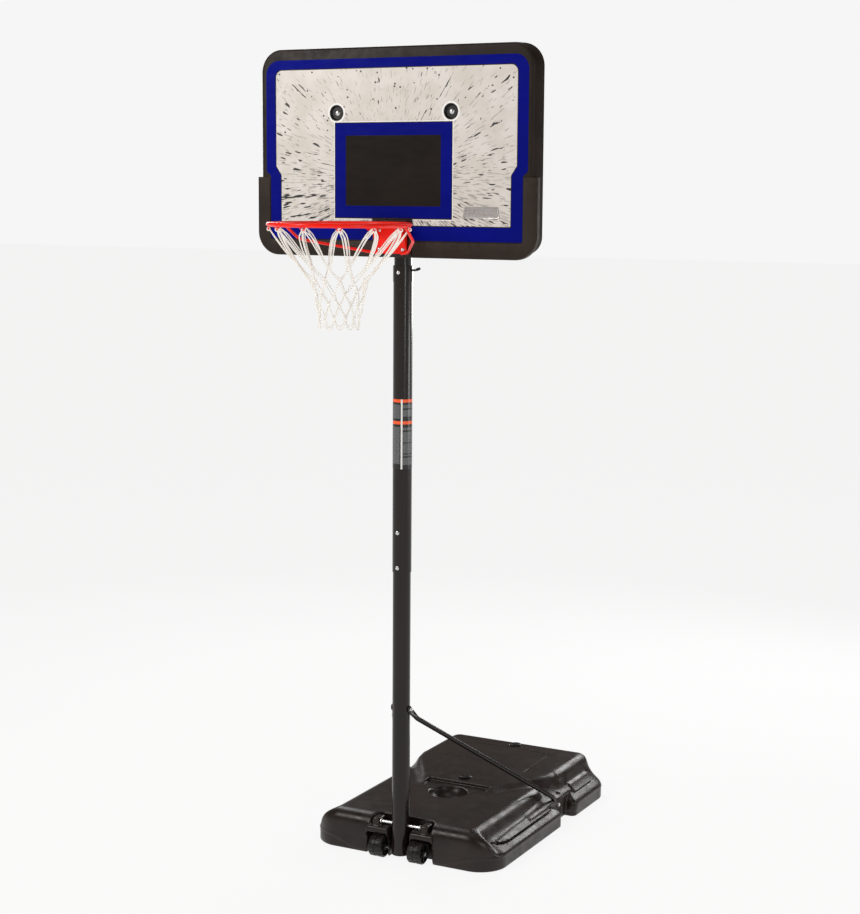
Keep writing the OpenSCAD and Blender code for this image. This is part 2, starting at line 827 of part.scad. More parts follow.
// Plain raised plate with no mark on it
module blank_badge() {
    color([0.6, 0.6, 0.6])
        panel(board_front_y - skin_t - 1.6, 1.6)
            polygon([[278, 2380], [284, 2416], [412, 2416], [418, 2380], [412, 2376], [284, 2376]]);
}

module guard_outline() {
    difference() {
        round_rect(-guard_w / 2, guard_w / 2, board_bottom_z, guard_top_z, guard_corner_r, 3);
        round_rect(-guard_inner_x, guard_inner_x, guard_inner_z, guard_top_z + 20, 10, 1);
    }
}

// Clip-on guard: a front lip over the board's face and a wall round its lower edge
module corner_guard() {
    color([0.21, 0.19, 0.18])
        difference() {
            union() {
                panel(board_front_y - guard_lip, guard_lip) guard_outline();
                panel(board_front_y - eps, guard_depth)
                    difference() {
                        round_rect(-guard_w / 2, guard_w / 2, board_bottom_z, guard_top_z,
                                   guard_corner_r, 3);
                        round_rect(-board_w / 2 - 0.3, board_w / 2 + 0.3, board_bottom_z + 17.7,
                                   guard_top_z + 20, board_corner_r - 18, 1);
                    }
            }
            // cut away behind the steel backing plate
            translate([-backing_x - 1, board_front_y - 20, board_bottom_z + 6])
                cube([2 * backing_x + 2, 20, 100]);
        }
}

module board_bolt_cups() {
    color([0.04, 0.04, 0.04])
        for (side = [-1, 1])
            translate([side * board_bolt_x, board_front_y - 0.6, board_bolt_z])
                along_y()
                    difference() {
                        cylinder(d = cup_d, h = 12.5);
                        translate([0, 0, -1]) cylinder(d1 = cup_d - 5, d2 = cup_d - 14, h = 9);
                        cylinder(d = hole_d, h = 30);
                    }
}

module board_bolts() {
    color([0.5, 0.5, 0.52])
        for (side = [-1, 1])
            translate([side * board_bolt_x, board_front_y + 7.2, board_bolt_z])
                along_y() bolt(26, head = 20, dome = 5);
}

module board_bolt_nuts() {
    color([0.78, 0.78, 0.8])
        for (side = [-1, 1])
            translate([side * board_bolt_x, board_front_y + 18.2 + arm_t, board_bolt_z])
                along_y() hex_nut();
}

// ---------- brackets ----------

// Flat steel arm from one board bolt, bent in to the side of the pole
module bracket_arm(side) {
    y0 = board_front_y + 18;
    color([0.12, 0.11, 0.11])
        scale([side, 1, 1])
            difference() {
                translate([0, 0, board_bolt_z - arm_h / 2])
                    linear_extrude(height = arm_h)
                        polygon([
                            [board_bolt_x + 24, y0], [board_bolt_x - 26, y0], [top_pole_d / 2 + 0.2, -20],
                            [top_pole_d / 2 + 0.2, 24], [top_pole_d / 2 + 0.2 + arm_t, 24],
                            [top_pole_d / 2 + 0.2 + arm_t, -17], [board_bolt_x - 25, y0 + arm_t],
                            [board_bolt_x + 24, y0 + arm_t],
                        ]);
                translate([board_bolt_x, y0 - 10, board_bolt_z]) along_y() cylinder(d = hole_d, h = 40);
                translate([0, 0, board_bolt_z]) along_x() cylinder(d = hole_d, h = 60);
            }
}

module bracket_arm_left() { bracket_arm(-1); }
module bracket_arm_right() { bracket_arm(1); }

module arm_bolt() {
    reach = top_pole_d / 2 + 0.4 + arm_t;
    color([0.78, 0.78, 0.8])
        translate([-reach, 0, board_bolt_z]) along_x() bolt(2 * reach + 9);
}

module arm_nut() {
    color([0.78, 0.78, 0.8])
        translate([top_pole_d / 2 + 0.4 + arm_t, 0, board_bolt_z]) along_x() hex_nut();
}

// Steel channel behind the board: its web takes the rim bolts and its sides clasp the pole
module pole_bracket() {
    z0 = rim_bolt_z[0] - 15;
    h = rim_bolt_z[1] - rim_bolt_z[0] + 30;
    side_x = top_pole_d / 2 + 0.2;
    color([0.12, 0.11, 0.11])
        difference() {
            union() {
                translate([-bracket_x, board_back_y + eps, z0]) cube([2 * bracket_x, bracket_t, h]);
                for (side = [-1, 1])
                    translate([side > 0 ? side_x : -side_x - 3, board_back_y + eps, z0])
                        cube([3, 62, h]);
            }
            for (x = [-rim_bolt_x, rim_bolt_x])
                for (z = rim_bolt_z)
                    translate([x, board_back_y - 5, z]) along_y() cylinder(d = hole_d, h = 20);
            for (z = bracket_bolt_z)
                translate([-60, 0, z]) along_x() cylinder(d = hole_d, h = 120);
        }
}

module bracket_bolts() {
    reach = top_pole_d / 2 + 3.4;
    color([0.78, 0.78, 0.8])
        for (z = bracket_bolt_z)
            translate([-reach, 0, z]) along_x() bolt(2 * reach + 9);
}

module bracket_nuts() {
    color([0.78, 0.78, 0.8])
        for (z = bracket_bolt_z)
            translate([top_pole_d / 2 + 3.4, 0, z]) along_x() hex_nut();
}

// ---------- rim ----------

// Black steel plate between the board and the rim, with two pressed ribs along its top
module backing_plate() {
    color([0.06, 0.06, 0.06])
        difference() {
            union() {
                translate([-backing_x, plate_y, backing_z0])
                    cube([2 * backing_x, backing_t, backing_z1 - backing_z0]);
                translate([-backing_x, plate_y + backing_t - eps, backing_z0])
                    cube([2 * backing_x, guard_lip - 0.1, border_low_z - backing_z0 - 2]);
                for (z = [backing_z1 - 4, backing_z1 - 12])
                    translate([-backing_x, plate_y - 1.5, z]) cube([2 * backing_x, 2, 4]);
            }
            for (x = [-rim_bolt_x, rim_bolt_x])
                for (z = rim_bolt_z)
                    translate([x, plate_y - 10, z]) along_y() cylinder(d = hole_d, h = 40);
        }
}

module rim_ring() {
    color([1.0, 0.18, 0.04])
        translate([0, ring_y, ring_z]) rotate_extrude($fn = 128) translate([ring_r, 0]) circle(d = ring_rod_d);
}

// Bolted plate with a flat tongue that is welded under the back of the ring
module rim_plate() {
    tongue_z = ring_z - ring_rod_d / 2 - plate_t;
    rear_y = ring_y + ring_r;
    color([1.0, 0.18, 0.04])
        difference() {
            union() {
                translate([-plate_x, plate_y - plate_t, plate_z0])
                    cube([2 * plate_x, plate_t, plate_z1 - plate_z0]);
                translate([0, 0, tongue_z])
                    linear_extrude(height = plate_t)
                        polygon([
                            [-plate_x, plate_y - 1], [plate_x, plate_y - 1],
                            [74, rear_y + 24], [74, rear_y - 1], [-74, rear_y - 1], [-74, rear_y + 24],
                        ]);
                for (side = [-1, 1])
                    translate([side * (plate_x - 2) - 2, 0, 0])
                        rotate([90, 0, 90])
                            linear_extrude(height = plate_t)
                                polygon([
                                    [plate_y - 1, tongue_z + 1], [plate_y - 1, plate_z0 + 2],
                                    [plate_y - 24, tongue_z - 26], [rear_y + 24, tongue_z + 1],
                                ]);
            }
            for (x = [-rim_bolt_x, rim_bolt_x])
                for (z = rim_bolt_z)
                    translate([x, plate_y - 10, z]) along_y() cylinder(d = hole_d, h = 40);
        }
}

// A round rod between two points
module rod(a, b, d) {
    run = b - a;
    length = norm(run);
    translate(a) rotate([0, acos(run[2] / length), atan2(run[1], run[0])]) cylinder(d = d, h = length);
}

// Two bent rods from the underside of the ring to the foot of the plate
module rim_braces() {
    color([1.0, 0.18, 0.04])
        for (side = [-1, 1]) {
            a = [side * 234, -418, ring_z - 6];
            b = [side * 224, -343, 2303];
            c = [side * 74, plate_y - plate_t - 11, 2255];
            d = [side * 44, plate_y - plate_t - brace_d / 2, 2251];
            rod(a, b, brace_d);
            rod(b, c, brace_d);
            rod(c, d, brace_d);
            translate(b) sphere(d = brace_d + 1.2);
            translate(c) sphere(d = brace_d + 1.2);
        }
}

// Wire loops under the ring, each open towards the ring's centre
module net_hooks() {
    color([1.0, 0.2, 0.05])
        for (i = [0:hook_count - 1])
            translate([0, ring_y, ring_z])
                rotate([0, 0, i * 360 / hook_count])
                    translate([ring_r, 0, -ring_rod_d / 2 + 1])
                        rotate([90, 180, 90])
                            rotate_extrude(angle = 180, $fn = 32) translate([hook_r, 0]) circle(d = hook_rod_d);
}

module rim_bolts() {
    reach = board_back_y - plate_y + plate_t + bracket_t;
    color([0.8, 0.8, 0.82])
        for (x = [-rim_bolt_x, rim_bolt_x])
            for (z = rim_bolt_z)
                translate([x, plate_y - plate_t - 0.1, z]) along_y() bolt(reach + 10);
}

module rim_nuts() {
    color([0.8, 0.8, 0.82])
        for (x = [-rim_bolt_x, rim_bolt_x])
            for (z = rim_bolt_z)
                translate([x, board_back_y + bracket_t + 0.1, z]) along_y() hex_nut();
}

// Radius of the hanging net against the share of its height below the hooks: it narrows
// quickly to a loose neck
net_form = [[0, 230], [0.26, 166], [0.45, 98], [0.6, 80], [0.85, 69], [1, 71]];

module net() {
    last = len(net_form) - 1;
    outer = [for (i = [0:last]) [net_form[i][1], net_top_z - net_form[i][0] * net_h]];
    inner = [for (i = [last:-1:0]) [net_form[i][1] - net_t, net_top_z - net_form[i][0] * net_h]];
    color([0.96, 0.94, 0.9])
        translate([0, ring_y, 0])
            rotate_extrude($fn = 48) polygon(concat(outer, inner));
}

base_tank();
ballast_fill();
front_fill_cap();
front_cap_seal();
rear_fill_cap();
rear_cap_seal();
wheel_left();
wheel_right();
wheel_axles();
wheel_axle_clips();
pivot_rod();
pivot_rod_clips();
pole_bottom();
pole_foot_cap();
pole_middle();
pole_label();
pole_joint_bolts();
pole_joint_nuts();
guide_bolt();
adjust_pin();
adjust_pin_grip();
strut_left();
strut_right();
strut_top_bolt();
strut_top_nut();
strut_foot_bolts();
strut_foot_nuts();
pole_top();
pole_glide();
pole_top_cap();
board_shell();
blue_border();
white_field();
target_border();
target_panel();
blank_badge();
corner_guard();
board_bolts();
board_bolt_cups();
board_bolt_nuts();
bracket_arm_left();
bracket_arm_right();
arm_bolt();
arm_nut();
pole_bracket();
bracket_bolts();
bracket_nuts();
backing_plate();
rim_ring();
rim_plate();
rim_braces();
net_hooks();
rim_bolts();
rim_nuts();
net();
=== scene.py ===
import json
import random
from contextlib import contextmanager
from math import cos, pi, radians, sin

import bmesh
import bpy
import numpy as np
from mathutils import Matrix, Vector


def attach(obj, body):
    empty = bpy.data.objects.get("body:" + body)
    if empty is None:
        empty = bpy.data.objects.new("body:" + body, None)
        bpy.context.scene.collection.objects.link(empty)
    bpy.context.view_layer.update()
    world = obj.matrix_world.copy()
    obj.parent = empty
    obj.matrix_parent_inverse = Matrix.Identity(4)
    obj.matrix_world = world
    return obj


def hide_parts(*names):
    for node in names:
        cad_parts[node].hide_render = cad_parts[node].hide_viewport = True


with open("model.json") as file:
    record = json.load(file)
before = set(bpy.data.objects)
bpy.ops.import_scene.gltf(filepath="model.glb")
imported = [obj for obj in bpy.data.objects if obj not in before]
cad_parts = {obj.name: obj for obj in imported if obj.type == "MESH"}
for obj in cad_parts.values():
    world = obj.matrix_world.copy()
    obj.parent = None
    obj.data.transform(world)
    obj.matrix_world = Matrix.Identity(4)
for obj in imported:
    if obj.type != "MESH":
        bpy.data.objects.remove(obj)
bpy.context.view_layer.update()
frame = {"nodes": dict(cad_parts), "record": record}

RECORD = frame["record"]
BODY_OF = {n: b for b, names in RECORD["behaviour"]["bodies"].items() for n in names}
SLOT_OF = {part["node"]: part["material_slot"] for part in RECORD["subparts"]}

# Shapes are built in millimetres. Cameras, lights and materials are in metres
MM = 0.001


def box_of(node):
    """The lowest and the highest x, y and z of a node of the frame, in millimetres."""
    points = np.array([v.co for v in frame["nodes"][node].data.vertices]) / MM
    return points.min(0).round(1), points.max(0).round(1)


# ---------- sizes that come from the frame ----------

TANK_HALF, TANK_REAR, REAR_DECK_Z = box_of("base_tank")[1]
CAP_SEATS = [((low[1] + high[1]) / 2, low[2])
             for low, high in (box_of("front_cap_seal"), box_of("rear_cap_seal"))]

# a brace is bolted at its flat tabs, and its tube runs a little beside the line between them
TAB_R, TAB_HALF, TUBE_R = 13, 2, 9
strut_low, strut_high = box_of("strut_right")
BRACE_TOP = Vector((strut_low[0] + TAB_HALF, 0, strut_high[2] - TAB_R))
BRACE_FOOT = Vector((349, strut_high[1] - TAB_R, strut_low[2] + TAB_R))
TUBE_START, TUBE_END = BRACE_TOP + Vector((0, 8, -22)), BRACE_FOOT + Vector((9, -22, 24))

LABEL_R, _, LABEL_TOP = box_of("pole_label")[1]
LABEL_LOW = box_of("pole_label")[0][2]
# the label's stripe faces this far to the right of the court side
LABEL_TURN = radians(23.5)

BOARD_HALF, BACK, BOARD_TOP = box_of("board_shell")[1]
_, FRONT, BOARD_LOW = box_of("board_shell")[0]
GUARD_HALF, _, GUARD_TOP = box_of("corner_guard")[1]
_, GUARD_FRONT, GUARD_LOW = box_of("corner_guard")[0]
CUP_R = 28
cup_low, cup_high = box_of("board_bolt_cups")
CUP_X, CUP_Z = cup_high[0] - CUP_R, cup_high[2] - CUP_R
TARGET_HALF, _, TARGET_TOP = box_of("target_border")[1]
TARGET_LOW = box_of("target_border")[0][2] - 1

ring_low, ring_high = box_of("rim_ring")
RING_ROD = (ring_high[2] - ring_low[2]) / 2
RING_R = ring_high[0] - RING_ROD
RING = Vector((0, (ring_low[1] + ring_high[1]) / 2, (ring_low[2] + ring_high[2]) / 2))
net_low, net_high = box_of("net")
# the cords start inside the hooks, a little above the solid that stands for the net
NET_TOP, NET_HEIGHT = net_high[2] + 5, net_high[2] - net_low[2]
HOOKS = 12


# ---------- materials ----------

def srgb(r, g, b):
    """Linear colour of an 8-bit sRGB one."""
    def linear(v):
        v /= 255
        return v / 12.92 if v < 0.04045 else ((v + 0.055) / 1.055) ** 2.4
    return (linear(r), linear(g), linear(b), 1)


def shade(colour, factor, lift=0.0):
    """The colour made darker or paler."""
    return tuple(min(1, c * factor + lift) for c in colour[:3]) + (1,)


class Finish:
    """A Principled material, with short ways to add nodes. Patterns are in metres of the frame."""

    def __init__(self, name, colour, roughness, **settings):
        self.material = bpy.data.materials.new(name)
        self.material.use_nodes = True
        self.tree = self.material.node_tree
        self.shader = self.tree.nodes["Principled BSDF"]
        self.place = self.tree.nodes.new("ShaderNodeTexCoord").outputs["Object"]
        self.put("Base Color", colour)
        self.put("Roughness", roughness)
        for key, value in settings.items():
            self.put(key.replace("_", " "), value)

    def put(self, key, value, target=None):
        socket = (target or self.shader).inputs[key]
        if isinstance(value, bpy.types.NodeSocket):
            self.tree.links.new(value, socket)
        else:
            socket.default_value = value

    def add(self, kind, inputs, **settings):
        made = self.tree.nodes.new(kind)
        for key, value in settings.items():
            setattr(made, key, value)
        for key, value in inputs.items():
            self.put(key, value, made)
        return made

    def math(self, operation, a, b=0.0):
        return self.add("ShaderNodeMath", {0: a, 1: b}, operation=operation).outputs[0]

    def plus(self, a, b):
        return self.math("ADD", a, b)

    def minus(self, a, b):
        return self.math("SUBTRACT", a, b)

    def times(self, a, b):
        return self.math("MULTIPLY", a, b)

    # these two are 1 where it is so, and 0 elsewhere
    def over(self, value, limit):
        return self.math("GREATER_THAN", value, limit)

    def under(self, value, limit):
        return self.math("LESS_THAN", value, limit)

    def either(self, a, b):
        return self.math("MAXIMUM", a, b)

    def vector(self, operation, a, b=(0, 0, 0)):
        return self.add("ShaderNodeVectorMath", {0: a, 1: b}, operation=operation).outputs["Vector"]

    def parts(self, vector):
        return self.add("ShaderNodeSeparateXYZ", {0: vector}).outputs

    def noise(self, scale, stretch=(1, 1, 1), detail=2.0):
        """Noise of that many cells a metre, stretched by the factors along X, Y and Z."""
        where = self.vector("MULTIPLY", self.place, stretch)
        made = self.add("ShaderNodeTexNoise", {"Vector": where, "Scale": scale, "Detail": detail})
        return made.outputs["Fac"]

    def cells(self, scale, stretch=(1, 1, 1)):
        where = self.vector("MULTIPLY", self.place, stretch)
        return self.add("ShaderNodeTexVoronoi", {"Vector": where, "Scale": scale}).outputs

    def step(self, value, low, high, start=0.0, end=1.0):
        """Goes smoothly from start to end as value goes from low to high."""
        inputs = {0: value, 1: low, 2: high, 3: start, 4: end}
        return self.add("ShaderNodeMapRange", inputs, interpolation_type="SMOOTHSTEP").outputs[0]

    def mix(self, share, a, b):
        """Colour a where share is 0 and b where it is 1."""
        return self.add("ShaderNodeMix", {0: share, 6: a, 7: b}, data_type="RGBA").outputs[2]

    def bump(self, *layers):
        """Each layer is a height and its size in metres."""
        normal = None
        for height, distance in layers:
            inputs = {"Height": height, "Distance": distance, "Strength": 1.0}
            if normal is not None:
                inputs["Normal"] = normal
            normal = self.add("ShaderNodeBump", inputs).outputs[0]
        self.put("Normal", normal)

    def worn(self, colour, wear_colour, amount=0.5):
        """Colour that goes paler where the surface turns sharply outwards."""
        edge = self.add("ShaderNodeNewGeometry", {}).outputs["Pointiness"]
        patchy = self.step(self.noise(60, detail=3), 0.35, 0.65)
        share = self.times(self.step(edge, 0.515, 0.56, 0, amount), patchy)
        return self.mix(share, colour, wear_colour)


def moulded(name, colour, roughness, specular, wave=0.0004):
    """Blow-moulded plastic: fine pebble grain, slow waves, cloudy colour and a few scuffs."""
    f = Finish(name, colour, roughness, Specular_IOR_Level=specular)
    cloudy = f.mix(f.step(f.noise(7, detail=4), 0.3, 0.7), shade(colour, 0.78), shade(colour, 1.22, 0.002))
    scuffs = f.step(f.noise(38, (1, 1, 0.25), 5), 0.66, 0.74, 0, 0.35)
    scuffed = f.mix(scuffs, cloudy, shade(colour, 1.7))
    f.put("Base Color", f.worn(scuffed, shade(colour, 2.2)))
    f.put("Roughness", f.step(f.noise(24, detail=3), 0.3, 0.7, roughness - 0.06, roughness + 0.07))
    f.bump((f.noise(14, detail=1), wave), (f.noise(1100, detail=2), 0.00006))
    return f.material


def painted(name, colour, roughness, peel, specular, coat=0.0, chip=None):
    """Powder coat: orange peel, faint rubbed streaks along its height, and small chips."""
    f = Finish(name, colour, roughness, Specular_IOR_Level=specular, Coat_Weight=coat, Coat_Roughness=0.12)
    tint = f.step(f.noise(9, (1, 1, 0.3), 3), 0.3, 0.7)
    mixed = f.mix(tint, shade(colour, 0.86), shade(colour, 1.14))
    chips = f.step(f.noise(190, detail=3), 0.735, 0.76)
    f.put("Base Color", f.mix(chips, mixed, chip or shade(colour, 0.5)))
    f.put("Roughness", f.step(f.noise(260, (1, 1, 0.02), 3), 0.45, 0.75, roughness, roughness + 0.10))
    f.bump((f.noise(520, detail=1), peel), (chips, -0.00008))
    return f.material


def plated(name, tone, roughness):
    """Bright zinc: a crystal pattern, a slight yellow cast in places, and dull rubbed spots."""
    def metal(r, g, b):
        return (tone * r, tone * g, tone * b, 1)

    f = Finish(name, metal(1, 1, 1), roughness, Metallic=1.0)
    flakes = f.step(f.parts(f.cells(420)["Color"])[0], 0, 1, 0, 1)
    cast = f.step(f.noise(45, detail=3), 0.35, 0.7)
    base = f.mix(flakes, metal(0.86, 0.87, 0.9), metal(1.12, 1.12, 1.14))
    f.put("Base Color", f.mix(f.times(cast, 0.35), base, metal(1.05, 0.98, 0.8)))
    f.put("Roughness", f.step(f.noise(160, detail=4), 0.3, 0.75, roughness - 0.08, roughness + 0.2))
    f.bump((flakes, 0.00002), (f.noise(900, detail=2), 0.00003))
    return f.material


def printed(name, colour, roughness, specular, fleck):
    """Printed film: flat ink with a fine dot screen, faint rolling marks and a soft gloss."""
    f = Finish(name, colour, roughness, Specular_IOR_Level=specular)
    dots = f.step(f.cells(620)["Distance"], 0.15, 0.6)
    drift = f.step(f.noise(5, detail=3), 0.3, 0.7)
    f.put("Base Color", f.mix(f.times(drift, dots), shade(colour, 1 - fleck), shade(colour, 1 + fleck)))
    f.put("Roughness", f.step(f.noise(60, (0.2, 1, 1), 4), 0.3, 0.75, roughness - 0.04, roughness + 0.12))
    f.bump((f.noise(240, detail=3), 0.00004))
    return f.material


def burst_print(name, centre_z, reach, halo_r, line_w):
    """Pale print with dark splashes that fly out from the target, thicker below it than above.
    A white halo goes round each bolt, and a white line round the target."""
    f = Finish(name, (0.7, 0.66, 0.62, 1), 0.36, Specular_IOR_Level=0.35)
    arm = f.vector("SUBTRACT", f.vector("MULTIPLY", f.place, (1, 0, 1)), (0, 0, centre_z))
    away = f.add("ShaderNodeVectorMath", {0: arm}, operation="LENGTH").outputs["Value"]
    x, _, z = f.parts(f.vector("NORMALIZE", arm))

    def splashes(around, along, low, high, shift):
        where = {0: f.times(x, around), 1: f.plus(f.times(away, along), shift), 2: f.times(z, around)}
        vector = f.add("ShaderNodeCombineXYZ", where).outputs[0]
        grain = f.add("ShaderNodeTexNoise", {"Vector": vector, "Scale": 1.0, "Detail": 1.0}).outputs["Fac"]
        return f.over(grain, f.step(z, -0.9, 0.9, low, high))

    near = f.step(away, reach * 0.2, reach, 0.0, 0.5)
    thin = splashes(70, 26, 0.535, 0.66, 0)
    bold = splashes(46, 19, 0.60, 0.71, 40)
    dots = f.under(f.cells(46, (1, 0, 1))["Distance"], 0.17)
    dots = f.times(dots, f.over(f.noise(21, (1, 0, 1)), 0.54))
    dots = f.times(dots, f.over(z, 0.35))
    paper = f.mix(f.step(f.noise(12, detail=4), 0.3, 0.7), srgb(208, 201, 192), srgb(222, 216, 210))
    colour = f.mix(f.times(thin, f.minus(0.85, near)), paper, srgb(120, 120, 116))
    colour = f.mix(bold, colour, srgb(42, 40, 38))
    colour = f.mix(dots, colour, srgb(50, 48, 46))

    px, _, pz = f.parts(f.place)
    off_x = f.minus(f.math("ABSOLUTE", px), CUP_X * MM)
    off_z = f.minus(pz, CUP_Z * MM)
    halo = f.under(f.math("SQRT", f.plus(f.times(off_x, off_x), f.times(off_z, off_z))), halo_r)
    beside = f.minus(f.math("ABSOLUTE", px), TARGET_HALF * MM)
    middle, half = (TARGET_TOP + TARGET_LOW) / 2 * MM, (TARGET_TOP - TARGET_LOW) / 2 * MM
    above = f.minus(f.math("ABSOLUTE", f.minus(pz, middle)), half)
    line = f.under(f.either(beside, above), line_w)
    f.put("Base Color", f.mix(f.either(halo, line), colour, srgb(244, 242, 238)))
    f.put("Roughness", f.step(f.noise(50, detail=4), 0.3, 0.75, 0.32, 0.46))
    f.bump((f.noise(240, detail=3), 0.00004), (bold, 0.00003))
    return f.material


def label_print(name):
    """Vinyl wrap: two warm bands, grey panels and a pale stripe, with no lettering."""
    f = Finish(name, srgb(20, 20, 22), 0.25, Specular_IOR_Level=0.5)
    x, y, z = f.parts(f.place)
    side = f.minus(f.math("ARCTAN2", x, f.times(y, -1)), LABEL_TURN)
    below = f.minus(LABEL_TOP * MM, z)

    def band(value, low, high):
        return f.times(f.over(value, low), f.under(value, high))

    warm = f.either(band(below, 0, 0.0115), band(below, 0.079, 0.0905))
    # panels by their top and foot below the label's top, and by their two sides in radians
    panels = None
    for low, high, left, right in ((0.019, 0.032, 0.12, 1.3), (0.038, 0.062, 0.12, 1.3),
                                   (0.102, 0.112, 0.10, 1.4), (0.118, 0.156, 0.10, 1.4),
                                   (0.160, 0.196, 0.10, 1.4), (0.200, 0.206, 0.10, 1.4),
                                   (0.212, 0.238, 0.10, 1.4), (0.019, 0.070, -1.1, -0.2),
                                   (0.100, 0.235, -1.1, -0.2)):
        panel = f.times(band(below, low, high), band(side, left, right))
        panels = panel if panels is None else f.either(panels, panel)
    panels = f.times(panels, f.step(f.noise(330, detail=2), 0.3, 0.7, 0.55, 1.0))
    colour = f.mix(panels, srgb(18, 18, 20), srgb(104, 106, 106))
    colour = f.mix(warm, colour, srgb(255, 92, 28))
    f.put("Base Color", f.mix(band(side, -0.09, 0.09), colour, srgb(240, 240, 236)))
    f.put("Roughness", f.step(f.noise(90, detail=3), 0.3, 0.7, 0.2, 0.34))
    f.bump((f.noise(300, detail=2), 0.00003))
    return f.material


def braided(name):
    """White braided cord: a plait along and round each strand, painted darker in the plait's grooves as
    painted shade, with soft dirt in places and a faint painted glow.
    """
    f = Finish(name, srgb(250, 247, 240), 0.75, Specular_IOR_Level=0.2)
    along, around, _ = f.parts(f.tree.nodes.new("ShaderNodeUVMap").outputs[0])
    plait = f.either(*(f.math("SINE", f.math(way, f.times(along, 2 * pi), f.times(around, 4 * pi)))
                       for way in ("ADD", "SUBTRACT")))
    dirt = f.step(f.noise(22, detail=4), 0.45, 0.75, 0, 0.5)
    # painted shade: the cord is painted darker where the plait sinks between strands, and paler on its crests
    base = f.mix(f.step(plait, 0.0, 0.8), srgb(226, 220, 208), srgb(255, 253, 248))
    f.put("Base Color", f.mix(dirt, base, srgb(232, 222, 204)))
    # painted glow: the cord gives off a little light of its own, though it is no lamp, so it reads brighter
    # white
    f.put("Emission Color", (1, 0.98, 0.95, 1))
    f.put("Emission Strength", 0.10)
    f.bump((plait, 0.0004), (f.noise(1500, detail=2), 0.00006))
    return f.material


def rubber(name, colour, roughness):
    f = Finish(name, colour, roughness, Specular_IOR_Level=0.3)
    dusty = f.step(f.noise(80, detail=4), 0.45, 0.75, 0, 0.5)
    f.put("Base Color", f.mix(dusty, colour, shade(colour, 2.5, 0.01)))
    f.put("Roughness", f.step(f.noise(140, detail=3), 0.3, 0.7, roughness - 0.08, roughness + 0.08))
    f.bump((f.noise(700, detail=2), 0.00007))
    return f.material


def rippled_water(name):
    f = Finish(name, (0.35, 0.5, 0.6, 1), 0.12, Specular_IOR_Level=0.5)
    f.put("Base Color", f.mix(f.noise(9, detail=3), (0.28, 0.44, 0.56, 1), (0.42, 0.56, 0.66, 1)))
    f.bump((f.noise(16, detail=2), 0.001))
    return f.material


# each slot's kind of material, and what that kind asks for after its name
FINISHES = {
    "base_plastic": (moulded, srgb(33, 23, 18), 0.34, 0.34, 0.0003),
    "board_plastic": (moulded, srgb(34, 26, 21), 0.42, 0.14),
    "guard_plastic": (moulded, srgb(42, 33, 27), 0.46, 0.16),
    "black_plastic": (moulded, srgb(16, 15, 15), 0.38, 0.3),
    "wheel_plastic": (moulded, srgb(24, 21, 20), 0.36, 0.35),
    "nylon": (moulded, srgb(222, 220, 212), 0.45, 0.3),
    "pole_paint": (painted, srgb(26, 19, 15), 0.18, 0.000012, 0.34, 0.0, srgb(48, 41, 37)),
    "bracket_paint": (painted, srgb(9, 8, 8), 0.14, 0.000002, 0.6),
    "rim_paint": (painted, srgb(255, 26, 2), 0.3, 0.00002, 0.25, 0.1, srgb(196, 30, 10)),
    "zinc_steel": (plated, 0.66, 0.28),
    "badge_metal": (plated, 0.36, 0.35),
    "print_blue": (printed, srgb(0, 10, 122), 0.5, 0.05, 0.12),
    "print_dark": (printed, srgb(28, 21, 17), 0.5, 0.1, 0.25),
    "print_white": (burst_print, 2.50, 0.5, 0.0345, 0.0062),
    "label_film": (label_print,),
    "seal_rubber": (rubber, srgb(28, 28, 28), 0.7),
    "water": (rippled_water,),
    "net_cord": (braided,),
}
LOOKS = {slot: kind(slot + "_look", *values) for slot, (kind, *values) in FINISHES.items()}


def look_of(node):
    return LOOKS[SLOT_OF[node]]


# ---------- camera, floor and light ----------

def camera(place, yaw, pitch, roll, focal_px, image_h):
    """Looks along +Y, turned left by yaw and down by pitch, and rolled. Angles in degrees."""
    data = bpy.data.cameras.new("camera")
    data.sensor_width = 36
    data.lens = focal_px / image_h * data.sensor_width
    data.clip_start, data.clip_end = 0.1, 200
    seat = bpy.data.objects.new("camera", data)
    seat.matrix_world = Matrix.Translation(place)
    for angle, axis in ((yaw, "Z"), (90 - pitch, "X"), (roll, "Z")):
        seat.matrix_world = seat.matrix_world @ Matrix.Rotation(radians(angle), 4, axis)
    bpy.context.scene.collection.objects.link(seat)
    bpy.context.scene.camera = seat


def area_light(name, place, target, size, power, colour=(1, 1, 1)):
    data = bpy.data.lights.new(name, "AREA")
    data.shape = "RECTANGLE"
    data.size, data.size_y = size
    data.energy = power
    data.color = colour
    lamp = bpy.data.objects.new(name, data)
    lamp.location = place
    lamp.visible_camera = False
    lamp.rotation_euler = (Vector(target) - Vector(place)).to_track_quat("-Z", "Y").to_euler()
    bpy.context.scene.collection.objects.link(lamp)


def backdrop():
    """The camera sees a pale backdrop, and reflections see a dim warm room."""
    world = bpy.data.worlds.new("studio")
    bpy.context.scene.world = world
    world.use_nodes = True
    tree = world.node_tree
    tree.nodes.clear()
    mix = tree.nodes.new("ShaderNodeMixShader")
    path = tree.nodes.new("ShaderNodeLightPath")
    tree.links.new(path.outputs["Is Camera Ray"], mix.inputs[0])
    for i, colour, strength in ((1, (1, 0.9, 0.81, 1), 0.15), (2, (0.92, 0.92, 0.92, 1), 1)):
        glow = tree.nodes.new("ShaderNodeBackground")
        glow.inputs["Color"].default_value = colour
        glow.inputs["Strength"].default_value = strength
        tree.links.new(glow.outputs[0], mix.inputs[i])
    out = tree.nodes.new("ShaderNodeOutputWorld")
    tree.links.new(mix.outputs[0], out.inputs["Surface"])


